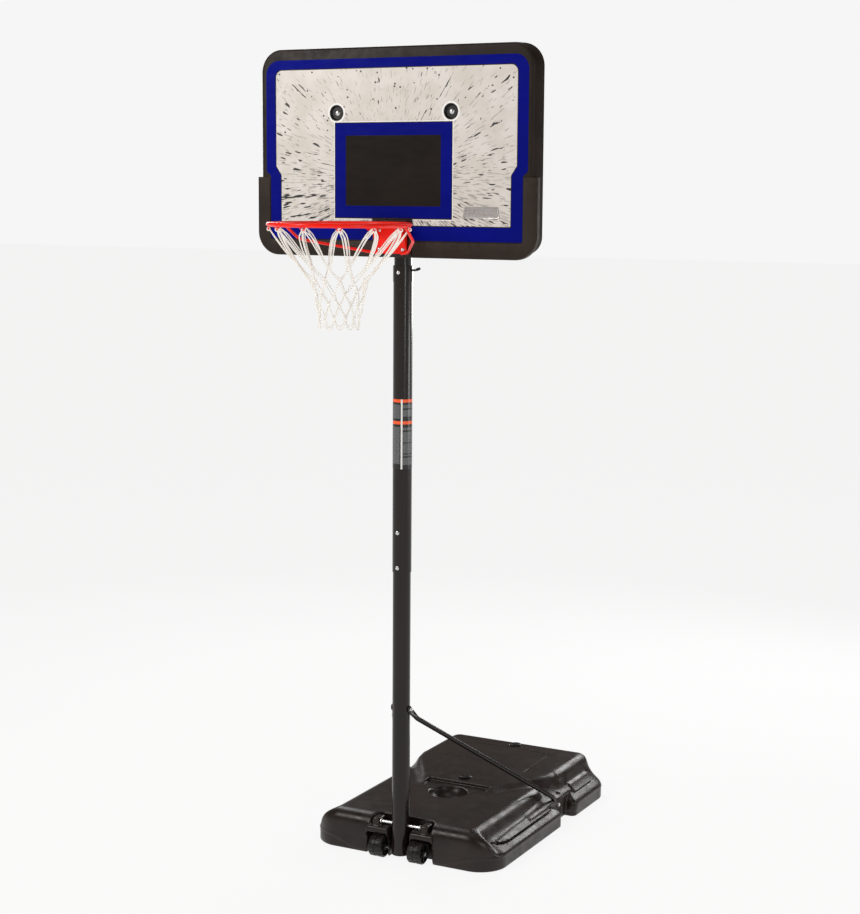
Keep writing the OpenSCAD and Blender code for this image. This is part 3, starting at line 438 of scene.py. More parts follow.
def floor(half):
    """A matt floor that glows a little, so that it stays as pale as the backdrop."""
    paint = Finish("floor_paint", (0.10, 0.10, 0.10, 1), 0.9, Specular_IOR_Level=0.0,
                   Emission_Color=(1, 1, 1, 1), Emission_Strength=0.88)
    mesh = bpy.data.meshes.new("floor")
    corners = [(-half, -half, 0), (half, -half, 0), (half, half, 0), (-half, half, 0)]
    mesh.from_pydata(corners, [], [(0, 1, 2, 3)])
    mesh.materials.append(paint.material)
    sheet = bpy.data.objects.new("floor", mesh)
    bpy.context.scene.collection.objects.link(sheet)


camera((3.1946, -5.8862, 2.4695), 27.632, 8.112, 0.3696, 1865.3, 914)
backdrop()
floor(60)
BOARD_SPOT, BASE_SPOT = (0, 0, 1.6), (0.35, 0.5, 0.1)
area_light("key", (-2.6, -3.6, 4.2), BOARD_SPOT, (1.1, 2.4), 120, (1, 0.97, 0.93))
area_light("fill", (4.2, -3.0, 3.0), BOARD_SPOT, (0.5, 3.2), 46, (0.95, 0.98, 1))
area_light("ridge", (0.7, 4.0, 2.0), BASE_SPOT, (2.4, 0.7), 52)
area_light("side", (4.4, 1.6, 1.4), BASE_SPOT, (1.6, 0.6), 26)
area_light("back", (-2.8, 2.6, 3.4), (0, 0.2, 1.6), (0.8, 2.6), 45)
area_light("top", (0.2, 0.2, 5.6), (0, 0, 0), (2.0, 2.0), 24)
bpy.context.scene.view_settings.view_transform = "Standard"


# ---------- mesh building ----------

def frames_along(path, thin=None, closed=False):
    """Direction and two cross directions at each point of a path, without twist."""
    count = len(path)
    made = []
    side = None
    for i in range(count):
        ahead = path[(i + 1) % count] if closed else path[min(i + 1, count - 1)]
        behind = path[i - 1] if closed else path[max(i - 1, 0)]
        along = (ahead - behind).normalized()
        guide = thin or side or along.orthogonal()
        side = (guide - guide.dot(along) * along).normalized()
        made.append((along, side, along.cross(side)))
    return made


def filleted(points, radius, steps=6):
    """The path through the points with each inner corner turned into a curve."""
    made = [points[0]]
    for before, corner, after in zip(points, points[1:], points[2:]):
        back, ahead = before - corner, after - corner
        reach = min(radius, back.length * 0.45, ahead.length * 0.45)
        a, b = corner + back.normalized() * reach, corner + ahead.normalized() * reach
        for i in range(steps + 1):
            t = i / steps
            made.append(a * (1 - t) ** 2 + corner * 2 * t * (1 - t) + b * t ** 2)
    return made + [points[-1]]


def curved(points, steps):
    """A smooth path that passes through every point."""
    ends = [points[0] * 2 - points[1], *points, points[-1] * 2 - points[-2]]
    made = []
    for a, b, c, d in zip(ends, ends[1:], ends[2:], ends[3:]):
        for i in range(steps):
            t = i / steps
            made.append(0.5 * (2 * b + (c - a) * t + (2 * a - 5 * b + 4 * c - d) * t ** 2
                               + (3 * b - a - 3 * c + d) * t ** 3))
    return made + [points[-1]]


def outline(x0, x1, z0, z1, r_low, r_top, steps):
    """Points round a rectangle whose lower and upper corners have their own radii."""
    corners = ((x1 - r_low, z0 + r_low, r_low, -90), (x1 - r_top, z1 - r_top, r_top, 0),
               (x0 + r_top, z1 - r_top, r_top, 90), (x0 + r_low, z0 + r_low, r_low, 180))
    turns = [(cx, cz, r, radians(start + 90 * i / steps)) for cx, cz, r, start in corners
             for i in range(steps + 1)]
    return [(cx + r * cos(a), cz + r * sin(a)) for cx, cz, r, a in turns]


def circle(steps):
    """Equal turns round a circle, in radians."""
    return [2 * pi * j / steps for j in range(steps)]


UP = Vector((0, 0, 1))
# a cord's plait repeats after this length
UV_PITCH = 10


class Shape:
    """Gathers the points, faces and UVs of one piece, and makes its mesh."""

    def __init__(self):
        self.points, self.faces, self.uvs = [], [], []

    def face(self, corners, uvs=None):
        self.faces.append(tuple(corners))
        self.uvs.extend(uvs or [(0, 0)] * len(self.faces[-1]))

    def skin(self, rings, closed=False, lengths=None, wraps=True):
        """Quads between rings with the same number of points; lengths give each ring's U."""
        start, size, count = len(self.points), len(rings[0]), len(rings)
        for ring in rings:
            self.points.extend(Vector(p) for p in ring)
        for i in range(count if closed else count - 1):
            a, b = start + i * size, start + (i + 1) % count * size
            u0, u1 = (lengths[i], lengths[i + 1]) if lengths and not closed else (0, 0)
            for j in range(size if wraps else size - 1):
                k = (j + 1) % size
                v0, v1 = j / size, (j + 1) / size
                self.face((a + j, a + k, b + k, b + j), [(u0, v0), (u0, v1), (u1, v1), (u1, v0)])
        if not closed:
            self.face(range(start + size - 1, start - 1, -1))
            self.face(range(start + (count - 1) * size, start + count * size))

    def sweep(self, path, radius, sides=12, closed=False, thin=None, sections=None):
        """A rod along a path. sections gives each point's two half sizes and its squareness."""
        rings, lengths, run = [], [], 0.0
        for i, (point, (_, side, cross)) in enumerate(zip(path, frames_along(path, thin, closed))):
            run += (point - path[i - 1]).length if i else 0.0
            across, thick, power = sections[i] if sections else (radius, radius, 1.0)
            ring = []
            for a in circle(sides):
                c, s = cos(a), sin(a)
                c, s = abs(c) ** power * (1 if c > 0 else -1), abs(s) ** power * (1 if s > 0 else -1)
                ring.append(point + cross * across * c + side * thick * s)
            rings.append(ring)
            lengths.append(run / UV_PITCH)
        self.skin(rings, closed, lengths)

    def lathe(self, profile, centre=(0, 0, 0), axis="Z", segments=64, closed=False):
        """Turns (radius, height) points round an axis through centre."""
        centre = Vector(centre)
        axes = {"X": ((0, 1, 0), (0, 0, 1), (1, 0, 0)), "Y": ((0, 0, 1), (1, 0, 0), (0, 1, 0)),
                "Z": ((1, 0, 0), (0, 1, 0), (0, 0, 1))}[axis]
        u, v, w = (Vector(a) for a in axes)
        self.skin([[centre + w * h + (u * cos(a) + v * sin(a)) * r for a in circle(segments)]
                   for r, h in profile], closed)

    def build(self, name, material, sharp=38, bevel=0.0):
        mesh = bpy.data.meshes.new(name)
        mesh.from_pydata([p * MM for p in self.points], [], self.faces)
        layer = mesh.uv_layers.new(name="along")
        layer.data.foreach_set("uv", np.array(self.uvs, np.float32).ravel())
        return finished(name, mesh, material, sharp, bevel)

    def stand_for(self, node, suffix, sharp=38, bevel=0.0):
        """Makes the piece that takes the place of a node, named after it."""
        placed(self.build(node + suffix, look_of(node), sharp, bevel), node)


@contextmanager
def editing(mesh, *sources):
    """An open bmesh of the sources, or of the mesh itself, that goes into the mesh at the end."""
    work = bmesh.new()
    for source in sources or (mesh,):
        work.from_mesh(source)
    yield work
    work.to_mesh(mesh)
    work.free()


def finished(name, mesh, material, sharp, bevel=0.0):
    """An object of the mesh: closed faces turned outwards, smooth shading and rounded edges."""
    with editing(mesh) as work:
        bmesh.ops.recalc_face_normals(work, faces=work.faces)
    mesh.shade_smooth()
    mesh.set_sharp_from_angle(angle=radians(sharp))
    mesh.materials.clear()
    mesh.materials.append(material)
    piece = bpy.data.objects.new(name, mesh)
    bpy.context.scene.collection.objects.link(piece)
    if bevel:
        rounding = piece.modifiers.new("rounded_edges", "BEVEL")
        rounding.width = bevel * MM
        rounding.segments = 2
        rounding.limit_method = "ANGLE"
        rounding.angle_limit = radians(35)
        rounding.harden_normals = True
        apply_modifiers(piece)
    return piece


def apply_modifiers(piece):
    graph = bpy.context.evaluated_depsgraph_get()
    mesh = bpy.data.meshes.new_from_object(piece.evaluated_get(graph))
    piece.modifiers.clear()
    piece.data = mesh


def cut(piece, tool, sharp):
    """Takes the tool's volume out of the piece."""
    work = piece.modifiers.new("cut", "BOOLEAN")
    work.object = tool
    work.operation = "DIFFERENCE"
    work.solver = "EXACT"
    apply_modifiers(piece)
    bpy.data.objects.remove(tool)
    piece.data.set_sharp_from_angle(angle=radians(sharp))
    return piece


def placed(piece, *nodes):
    """The piece, already made in its first node's slot, rides on that node's body and stands for the nodes.
    """
    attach(piece, BODY_OF[nodes[0]])
    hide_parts(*nodes)
    return piece


def refined(node, bevel):
    """A node's own shape with flat faces joined up, its edges rounded and its curves smooth."""
    mesh = bpy.data.meshes.new(node + "_refined")
    with editing(mesh, frame["nodes"][node].data) as work:
        bmesh.ops.remove_doubles(work, verts=work.verts, dist=0.02 * MM)
        bmesh.ops.dissolve_limit(work, angle_limit=radians(0.6), verts=work.verts, edges=work.edges)
    for name in ("custom_normal", "sharp_face", "sharp_edge"):
        if name in mesh.attributes:
            mesh.attributes.remove(mesh.attributes[name])
    placed(finished(node + "_refined", mesh, look_of(node), 38, bevel), node)


# ---------- base tank ----------

# The tank is a field that is negative inside the plastic. The belt is its upright lower side,
# a deck is the top of a block, and the waist joins the two blocks
TANK_FRONT = -14
BELT_TOP = 58
DECK_HALF, DECK_Z = 300, 144
FRONT_BLOCK_REAR, REAR_BLOCK_FRONT = 618, 732
CORNER_R, NOTCH_R = 112, 26
WAIST_HALF, WAIST_Z, WAIST_Y = 345, 92, 600
NET_CELL, FILL_CELL = 4.2, 12


def smooth_max(a, b, blend):
    share = np.maximum(blend - np.abs(a - b), 0) / blend
    return np.maximum(a, b) + share * share * blend / 4


def smooth_min(a, b, blend):
    return -smooth_max(-a, -b, blend)


def without(form, hollow, blend):
    return smooth_max(form, -hollow, blend)


def soft_step(value, low, high):
    t = np.clip((value - low) / (high - low), 0, 1)
    return t * t * (3 - 2 * t)


def until(value, start, end):
    """1 up to start, and softly down to 0 at end."""
    return soft_step(-value, -end, -start)


def furrow(distance, width):
    """A soft line of that half width where the distance is 0."""
    return np.exp(-(distance / width) ** 2)


def plan(x, y, half, y0, y1, r_front, r_rear):
    """Distance to a rectangle in plan, with one radius for its front corners and one for its rear."""
    middle = (y0 + y1) / 2
    r = np.where(y < middle, r_front, r_rear)
    qx = np.abs(x) - half + r
    qy = np.abs(y - middle) - (y1 - y0) / 2 + r
    return np.hypot(np.maximum(qx, 0), np.maximum(qy, 0)) + np.minimum(np.maximum(qx, qy), 0) - r


def box_field(x, y, z, centre, half, r):
    q = [np.abs(v - c) - h + r for v, c, h in zip((x, y, z), centre, half)]
    outside = np.sqrt(sum(np.maximum(v, 0) ** 2 for v in q))
    return outside + np.minimum(np.maximum(np.maximum(q[0], q[1]), q[2]), 0) - r


def slope(z, y, top):
    """Share of the way in from belt to ridge: round at the front corners, scooped behind them."""
    t = np.clip((z - BELT_TOP) / (top - BELT_TOP), -0.7, 1)
    scooped = 1 - (1 - t) ** 2.3
    rounded = np.where(t > 0, np.abs(t) ** 2.2, 0.8 * t)
    return rounded + (scooped - rounded) * soft_step(y, 22, 70)


def block(x, y, z, belt, ridge, top):
    """One half of the tank: an upright belt and a side that goes in to the ridge of the deck."""
    belt_d, ridge_d = plan(x, y, *belt), plan(x, y, *ridge)
    share = slope(z, y, top)
    rate = (slope(z + 1, y, top) - slope(z - 1, y, top)) / 2
    side = belt_d * (1 - share) + ridge_d * share
    side = side / np.sqrt(1 + ((ridge_d - belt_d) * rate) ** 2)
    # the belt rolls over at its top before the side starts
    side = smooth_max(side, belt_d, 15)
    return smooth_max(side, z - top, 40)


def long_panel(y, z):
    """Height over the side of the front block's panel: pointed in front, with a groove under it."""
    front, rear = 76, 556
    high = 91 + 8 * np.clip((y - 60) / 480, 0, 1)
    low = 76 + (high - 76) * np.clip((190 - y) / 110, 0, 1) ** 2
    edge = np.minimum(np.minimum(z - low, high - z), rear - y)
    groove = furrow(z - low + 2.6, 2.4) * soft_step(y, front + 8, front + 34) * until(y, rear - 6, rear + 14)
    return 8 * soft_step(edge, -1.5, 3) * soft_step(y, front, front + 14) - 3 * groove


def short_panel(y, z):
    """Height over the side of the rear block's panel."""
    edge = -plan(z - 98, y, 15, 795, 985, 8, 8)
    return 7 * soft_step(edge, -1.5, 3) - 2 * furrow(edge + 3, 2.4)


def ramp(x, y, z):
    """The rise between the two decks. Its edge swings out to the rear ridge in an S."""
    left_to_climb = 1 - np.clip((y - 372) / 318, 0, 1)
    deck = DECK_Z + (REAR_DECK_Z - DECK_Z) * (1 - left_to_climb ** 2)
    hidden_ends = 15 * (1 - soft_step(y, 385, 460)) + 9 * soft_step(y, 750, 800)
    top = deck - hidden_ends
    half = 150 + (DECK_HALF - 150) * soft_step(y, 400, 742)
    share = np.clip((z - WAIST_Z) / (top - WAIST_Z), 0, 1)
    side = (np.abs(x) - (WAIST_HALF + (half - WAIST_HALF) * (1 - (1 - share) ** 1.5))) / 1.3
    body = smooth_max(side, z - top, 20)
    return smooth_max(body, np.abs(y - WAIST_Y) - 210, 10)


def parting_height(wide, y):
    """The seam of the moulding: it dips towards the wheels and at the rear block's front corner."""
    front = until(y, 10, 50) * until(wide, 170, 330)
    corner = until(y, 745, 800) * (y > 700)
    return 46 - 36 * front - 24 * corner


def outer_form(x, y, z):
    """The two blocks, the waist and the rise between them, and a fin behind each brace."""
    wide = np.abs(x)
    panel_face = soft_step(wide, 296, 316)
    front = block(x, y, z, (TANK_HALF, TANK_FRONT, FRONT_BLOCK_REAR, CORNER_R, NOTCH_R),
                  (DECK_HALF + 7, 4, FRONT_BLOCK_REAR - 10, 36, 30), DECK_Z + 2)
    front = front - long_panel(y, z) * panel_face * until(wide, 380, 392)
    rear = block(x, y, z, (TANK_HALF, REAR_BLOCK_FRONT, TANK_REAR, NOTCH_R, CORNER_R),
                 (DECK_HALF + 14, REAR_BLOCK_FRONT - 34, TANK_REAR - 31, 34, 46), REAR_DECK_Z + 1)
    rear = rear - short_panel(y, z) * panel_face
    waist = smooth_max(wide - WAIST_HALF, z - WAIST_Z, 14)
    waist = smooth_max(waist, np.abs(y - WAIST_Y) - 200, 8)
    rise = smooth_min(waist, ramp(x, y, z), 22)
    form = smooth_min(smooth_min(front, rise, 15), rear, 5)
    fin = box_field(wide, y, z, (334, 712, 86), (5, 26, 26), 4)
    return smooth_min(form, smooth_max(fin, (y - 700) * 0.75 + (z - 104), 3), 5)


def deck_details(form, x, y, z):
    """The seam, the lines moulded in the rear deck, the bowl and the pocket behind it."""
    wide = np.abs(x)
    # the lower shell is a little smaller than the upper one
    form = form + 2.6 * soft_step(parting_height(wide, y) - z, -1.2, 1.2)
    line_half, line_rear, line_w = 184, 964, 3.6
    sides = furrow(wide - line_half, line_w) * soft_step(y, 640, 720) * until(y, 930, 946)
    bulge = 22 * (x / line_half) ** 2
    arc = furrow(y - line_rear + bulge, line_w) * until(wide, 176, 190)
    form = form + 1.5 * np.maximum(sides, arc) * soft_step(z, 140, 150)

    bowl_y, bowl_z, bowl_r, bowl_squash = 388, 150, 76, 1.42
    bowl = np.sqrt(x ** 2 + (y - bowl_y) ** 2 + ((z - bowl_z) * bowl_squash) ** 2) - bowl_r
    form = without(form, bowl, 9)
    # the pocket is flat, narrower in front, and the rise runs down into it
    pocket_front, pocket_rear, pocket_z = 395, 486, 140
    flare = 134 - np.maximum(0, 436 - y) * 1.1
    pocket = np.maximum(wide - flare, np.maximum(pocket_front - y, y - pocket_rear))
    pocket_floor = pocket_z + 0.05 * (y - pocket_front)
    return without(form, smooth_max(pocket, pocket_floor - z, 4), 5)


def wheel_bay(form, x, y, z):
    """The slot for the pole, the shelf, wells and fenders for the wheels, and the rod's saddles."""
    wide = np.abs(x)
    slot_half, slot_rear = 43, 52
    form = without(form, np.maximum(wide - slot_half, y - slot_rear), 6)
    shelf = plan(x, y, 126, -400, slot_rear, 1, 34)
    form = without(form, smooth_max(shelf, 112 - z, 5), 7)
    well_in, well_out, well_rear, well_top, well_size = 50, 138, 34, 88, 100
    middle, reach = (well_out + well_in) / 2, (well_out - well_in) / 2
    well_centre = (middle, well_rear - well_size, well_top - well_size)
    well = box_field(wide, y, z, well_centre, (reach, well_size, well_size), 8)
    form = without(form, well, 5)
    # fenders have a rounded brow over the wheels
    fender = np.hypot(y + 1, z - 86) - 29
    fender = smooth_max(fender, np.abs(wide - middle) - reach - 3, 5)
    fender = smooth_max(without(fender, well, 4), TANK_FRONT - 8 - y, 4)
    form = smooth_min(form, fender, 5)
    saddle = box_field(wide, y, z, (101, 14, 124), (15, 26, 17), 7)
    form = smooth_min(form, saddle, 6)
    rod_z, rod_room, rod_half = 130, 5.4, 104.5
    rod = np.hypot(y, z - rod_z) - rod_room
    return without(form, np.maximum(rod, wide - rod_half), 1.5)


def brace_and_cap_seats(form, x, y, z):
    """A groove under each brace, a seat for its foot, and seats and mouths for the two caps."""
    wide = np.abs(x)
    step_x, step_y, step_z = TUBE_END - TUBE_START
    along = np.clip((y - TUBE_START.y) / step_y, 0, 1.03)
    groove = np.sqrt((wide - TUBE_START.x - step_x * along) ** 2 + (z - TUBE_START.z - step_z * along) ** 2
                     + (y - TUBE_START.y - step_y * along) ** 2) - 14
    form = without(form, groove, 6)
    foot_seat = box_field(wide, y, z, (WAIST_HALF + 16, BRACE_FOOT.y, BRACE_FOOT.z), (15.5, 26, 24), 5)
    form = without(form, foot_seat, 4)
    for cap_y, seat_z in CAP_SEATS:
        from_axis = np.hypot(x, y - cap_y)
        form = without(form, np.maximum(from_axis - 26, seat_z - z), 2)
        form = without(form, np.maximum(from_axis - 17.2, seat_z - 40 - z), 1.5)
    return form


def tank_field(x, y, z):
    form = outer_form(x, y, z)
    for add_details in (deck_details, wheel_bay, brace_and_cap_seats):
        form = add_details(form, x, y, z)
    return smooth_max(form, -z, 7)


def fill_field(x, y, z):
    """The hollow of the tank, clear of its walls."""
    form = tank_field(x, y, z) + 9
    for cap_y, _ in CAP_SEATS:
        form = smooth_max(form, 36 - np.hypot(x, y - cap_y), 6)
    return smooth_max(form, 60 - y, 6)


def surface_net(values, low, cell):
    """Quads on the zero surface of a grid of distances: one point in each cell that it crosses."""
    shape = np.array(values.shape)
    strides = np.array((shape[1] * shape[2], shape[2], 1))
    inside = values < 0
    quads, owners, points = [], [], []
    for axis in range(3):
        ahead = [slice(None)] * 3
        here = [slice(None)] * 3
        ahead[axis], here[axis] = slice(1, None), slice(None, -1)
        crossed = np.argwhere(inside[tuple(ahead)] != inside[tuple(here)])
        step, u, v = np.roll(np.eye(3, dtype=int), -axis, axis=0)
        a = values[tuple(crossed.T)]
        b = values[tuple((crossed + step).T)]
        spot = crossed + step * (a / (a - b))[:, None]
        cells = np.stack([(crossed - shift) @ strides for shift in (0 * u, u, u + v, v)], 1)
        quads.append(np.where((a < 0)[:, None], cells, cells[:, ::-1]))
        owners.append(cells.ravel())
        points.append(np.repeat(spot, 4, 0))
    owners, points = np.concatenate(owners), np.concatenate(points)
    used, index = np.unique(owners, return_inverse=True)
    total = np.stack([np.bincount(index, points[:, i]) for i in range(3)], 1)
    centres = total / np.bincount(index)[:, None]
    return centres * cell + low, np.searchsorted(used, np.concatenate(quads))


def drawn_in(points, field, cell):
    """The points moved onto the zero surface of the field, a part of a cell at most each time."""
    probe = 0.4
    for _ in range(3):
        grade = np.stack([field(*(points + probe * e).T) - field(*(points - probe * e).T)
                          for e in np.eye(3)], 1) / (2 * probe)
        move = grade * (field(*points.T) / np.maximum((grade ** 2).sum(1), 0.2))[:, None]
        reach = np.linalg.norm(move, axis=1, keepdims=True)
        points = points - move * np.minimum(1, 0.7 * cell / np.maximum(reach, 1e-9))
    return points


def moulding(node, field, cell):
    """The zero surface of the field as a piece, with its flat underside as one sheet of faces."""
    spare = 12
    low = np.array((-TANK_HALF - spare, TANK_FRONT - 2 * spare, -1.5 * cell))
    high = np.array((TANK_HALF + spare, TANK_REAR + spare, REAR_DECK_Z + spare))
    axes = [np.arange(a, b, cell) for a, b in zip(low, high)]
    points, quads = surface_net(field(*np.meshgrid(*axes, indexing="ij")), low, cell)
    points = drawn_in(points, field, cell)
    points[:, 2] = np.maximum(points[:, 2], 0)
    mesh = bpy.data.meshes.new(node + "_moulding")
    mesh.from_pydata((points * MM).tolist(), [], quads.tolist())
    with editing(mesh) as work:
        flat = [f for f in work.faces if all(v.co.z < 0.3 * MM for v in f.verts)]
        if flat:
            bmesh.ops.delete(work, geom=flat, context="FACES")
            rim = [e for e in work.edges if e.is_boundary]
            bmesh.ops.triangle_fill(work, edges=rim, use_beauty=True)
    placed(finished(node + "_moulding", mesh, look_of(node), 180), node)


moulding("base_tank", tank_field, NET_CELL)
moulding("ballast_fill", fill_field, FILL_CELL)


# ---------- wheels ----------

def wheel(node):
    """Hub, recessed ribbed sides, and two rows of tread blocks with a groove between them."""
    low, high = box_of(node)
    centre = Vector((low + high) / 2)
    made = Shape()
    side = [(5.1, 31), (12, 31), (13, 30), (13.4, 19.6), (15, 19), (31.5, 19), (32.8, 20), (33.2, 26.6),
            (34.6, 28), (37, 28), (38.4, 27), (39, 25.4)]
    groove = [(39, 2.6), (38, 2), (38, -2), (39, -2.6)]
    made.lathe(side + groove + [(r, -h) for r, h in reversed(side)], centre, "X", 84, closed=True)
    # the blocks and the gaps between them, as turns round the wheel
    blocks = 14
    pitch, gap = 2 * pi / blocks, 4.2 / 41
    for row in (-1, 1):
        for i in range(blocks):
            start = (i + 0.25 * row) * pitch + gap / 2
            rings = []
            for j in range(6):
                turn = start + (pitch - gap) * j / 5
                away = Vector((0, cos(turn), sin(turn)))
                soft = 0.5 if j in (0, 5) else 0
                section = ((37.8, 3.2), (40.4 - soft, 3.2), (41 - soft, 3.9), (41 - soft, 24.5),
                           (40.2 - soft, 26.0), (37.8, 27.2))
                rings.append([centre + away * r + Vector((row * h, 0, 0)) for r, h in section])
            made.skin(rings)
    rib, ribs = [(12.6, -1.5), (12.6, 1.5), (33.0, 1.3), (33.0, -1.3)], 6
    for face in (-1, 1):
        for i in range(ribs):
            turn = (i + 0.5) * 2 * pi / ribs
            along = Vector((0, cos(turn), sin(turn)))
            across = Vector((1, 0, 0)).cross(along)
            made.skin([[centre + along * r + across * w + Vector((face * h, 0, 0)) for r, w in rib]
                       for h in (18.5, 25.2)])
    made.stand_for(node, "_moulding", 32, 0.5)


wheel("wheel_left")
wheel("wheel_right")


# ---------- pole and braces ----------

def label():
    made = Shape()
    thick, edge = 0.35, 0.2
    inner, round_r = LABEL_R - thick, LABEL_R - edge
    made.lathe([(inner, LABEL_LOW), (round_r, LABEL_LOW), (LABEL_R, LABEL_LOW + edge),
                (LABEL_R, LABEL_TOP - edge), (round_r, LABEL_TOP), (inner, LABEL_TOP)],
               segments=96, closed=True)
    made.stand_for("pole_label", "_film")


def brace(node, side):
    """A tube pressed flat at both ends, with a smooth swell between tab and tube."""
    run = (TUBE_END - TUBE_START).normalized()
    swell = 36
    upper, lower = TUBE_START + run * swell, TUBE_END - run * swell
    into, out_of = (upper - BRACE_TOP), (BRACE_FOOT - lower)
    into.x = out_of.x = 0
    into.normalize()
    out_of.normalize()
    flat_end, square, steps = 9, 0.45, 8
    round_end = [(-TAB_R, 2.5), (-12.4, 5.2), (-11, 7.8), (-8, 10.6), (-4, 12.6)]
    round_end += [(0, TAB_R), (flat_end, TAB_R)]
    tab = [(w, TAB_HALF, square) for _, w in round_end]
    shares = [i / steps for i in range(1, steps + 1)]
    grown = [t * t * (3 - 2 * t) for t in shares]
    swelling = [(TAB_R + (TUBE_R - TAB_R) * g, TAB_HALF + (TUBE_R - TAB_HALF) * g, square + (1 - square) * g)
                for g in grown]
    tube_steps = 12
    path = [BRACE_TOP + into * d for d, _ in round_end]
    path += [(BRACE_TOP + into * flat_end).lerp(upper, t) for t in shares]
    path += [upper.lerp(lower, i / tube_steps) for i in range(1, tube_steps)]
    path += [(BRACE_FOOT - out_of * flat_end).lerp(lower, t) for t in reversed(shares)]
    path += [BRACE_FOOT - out_of * d for d, _ in reversed(round_end)]
    sections = tab + swelling + [(TUBE_R, TUBE_R, 1)] * (tube_steps - 1) + swelling[::-1] + tab[::-1]
    turn = Vector((side, 1, 1))
    made = Shape()
    made.sweep([p * turn for p in path], 0, 28, thin=Vector((1, 0, 0)), sections=sections)
    made.stand_for(node, "_tube", 40)


def pin():
    """The rod with its tipped handle end, and a ribbed grip moulded on it."""
    tip_x, pin_z, rod_r, tip_r = 32.3, 2190, 4, 3.2
    tilt = radians(70)
    tip, elbow = Vector((tip_x, 0, pin_z)), Vector((49.5, 0, pin_z))
    along = Vector((sin(tilt), 0, cos(tilt)))
    path = [tip] + filleted([tip + Vector((0.5, 0, 0)), elbow, elbow + along * 7], 6)
    sizes = [(tip_r, tip_r, 1)] + [(rod_r, rod_r, 1)] * (len(path) - 1)
    rod = Shape()
    rod.sweep(path, 0, 20, thin=Vector((0, 1, 0)), sections=sizes)
    rod.stand_for("adjust_pin", "_rod")
    profile = [(0.05, 0), (4.4, 0), (5.2, 0.6), (5.25, 2.0), (4.7, 2.7), (5.25, 3.4), (5.25, 5.2), (4.7, 5.9),
               (5.25, 6.6), (5.25, 8.6), (4.7, 9.3), (5.25, 10.0), (5.2, 11.4), (4.8, 13.0), (4.0, 14.6),
               (2.8, 15.7), (1.4, 16.2), (0.05, 16.25)]
    base = elbow + along * 5
    side = Vector((0, 1, 0))
    cross = along.cross(side)
    grip = Shape()
    grip.skin([[base + along * h + (side * cos(a) + cross * sin(a)) * r for a in circle(32)]
               for r, h in profile])
    grip.stand_for("adjust_pin_grip", "_moulding", 60)


label()
brace("strut_left", -1)
brace("strut_right", 1)
pin()


# ---------- backboard ----------

# the sides of the board lean outwards towards the back
FLARE = 18
BOARD_R_LOW, BOARD_R_TOP = 62, 80
# ribs and walls behind the face start this deep, inside its skin
ROOT = 4


def lifted(points, y):
    return [Vector((x, y, z)) for x, z in points]


def quarter():
    """Sine and cosine of equal turns from 0 to 90 degrees."""
    return [(sin(radians(t)), cos(radians(t))) for t in range(0, 91, 15)]


def board():
    """Blow-moulded board: a rolled front edge, an open ribbed back and two deep round recesses."""
    def at(inset, y):
        half = BOARD_HALF - inset + FLARE * (y - FRONT) / (BACK - FRONT)
        return lifted(outline(-half, half, BOARD_LOW + inset, BOARD_TOP - inset,
                              BOARD_R_LOW - inset, BOARD_R_TOP - inset, 14), y)

    roll = 9
    rings = [at(roll * (1 - s), FRONT + roll * (1 - c)) for s, c in quarter()]
    rings += [at(0, BACK - 2), at(0.6, BACK - 0.6), at(2, BACK), at(4.4, BACK), at(5.6, BACK - 0.6),
              at(6, BACK - 2), at(6.2, FRONT + roll), at(8, FRONT + 6.6), at(10, FRONT + 6)]
    skin = Shape()
    skin.skin(rings)
    shell = skin.build("board_shell_moulding", look_of("board_shell"), 30)
    cups = [(x, FRONT, CUP_Z) for x in (-CUP_X, CUP_X)]
    hole_r = CUP_R + 0.1
    for cup in cups:
        tool = Shape()
        tool.lathe([(hole_r, -10), (hole_r, 30)], cup, "Y")
        cut(shell, tool.build("cup_hole", look_of("board_shell")), 30)

    ribs = Shape()
    rib_half, rib_low, rib_top = BOARD_HALF - 3, BOARD_LOW + 3, BOARD_TOP - 3

    def rib(x0, x1, z0, z1, along_x, along_z, rear):
        """A bar from the face back to rear, wider at its root."""
        root = ((3.2, FRONT + ROOT), (2.2, FRONT + 8), (1.7, rear - 1), (0.9, rear))
        ribs.skin([lifted([(x0 - w * along_x, z0 - w * along_z), (x1 + w * along_x, z0 - w * along_z),
                           (x1 + w * along_x, z1 + w * along_z), (x0 - w * along_x, z1 + w * along_z)], y)
                   for w, y in root])

    for x in (-390, -300, -110, 110, 300, 390):
        rib(x, x, rib_low, rib_top, 1, 0, FRONT + 34)
    for z in (2400, 2500, 2600, 2860):
        rib(-rib_half, rib_half, z, z, 0, 1, FRONT + 33.6)
    wall = [(33, ROOT), (32.6, 17), (31.6, 18), (4.3, 18), (4.3, 13), (hole_r, 13), (hole_r, ROOT)]
    for cup in cups:
        ribs.lathe(wall, cup, "Y", closed=True)

    def seat(inset, y):
        return lifted(outline(-64 + inset, 64 - inset, 2256 + inset, 2349 - inset, 6, 6, 4), y)

    ribs.skin([seat(0, FRONT + ROOT), seat(0, BACK - 0.8), seat(0.8, BACK)])
    extra = ribs.build("ribs", look_of("board_shell"), 30)
    with editing(shell.data, shell.data, extra.data):
        bpy.data.objects.remove(extra)
    shell.data.set_sharp_from_angle(angle=radians(30))
    placed(shell, "board_shell")


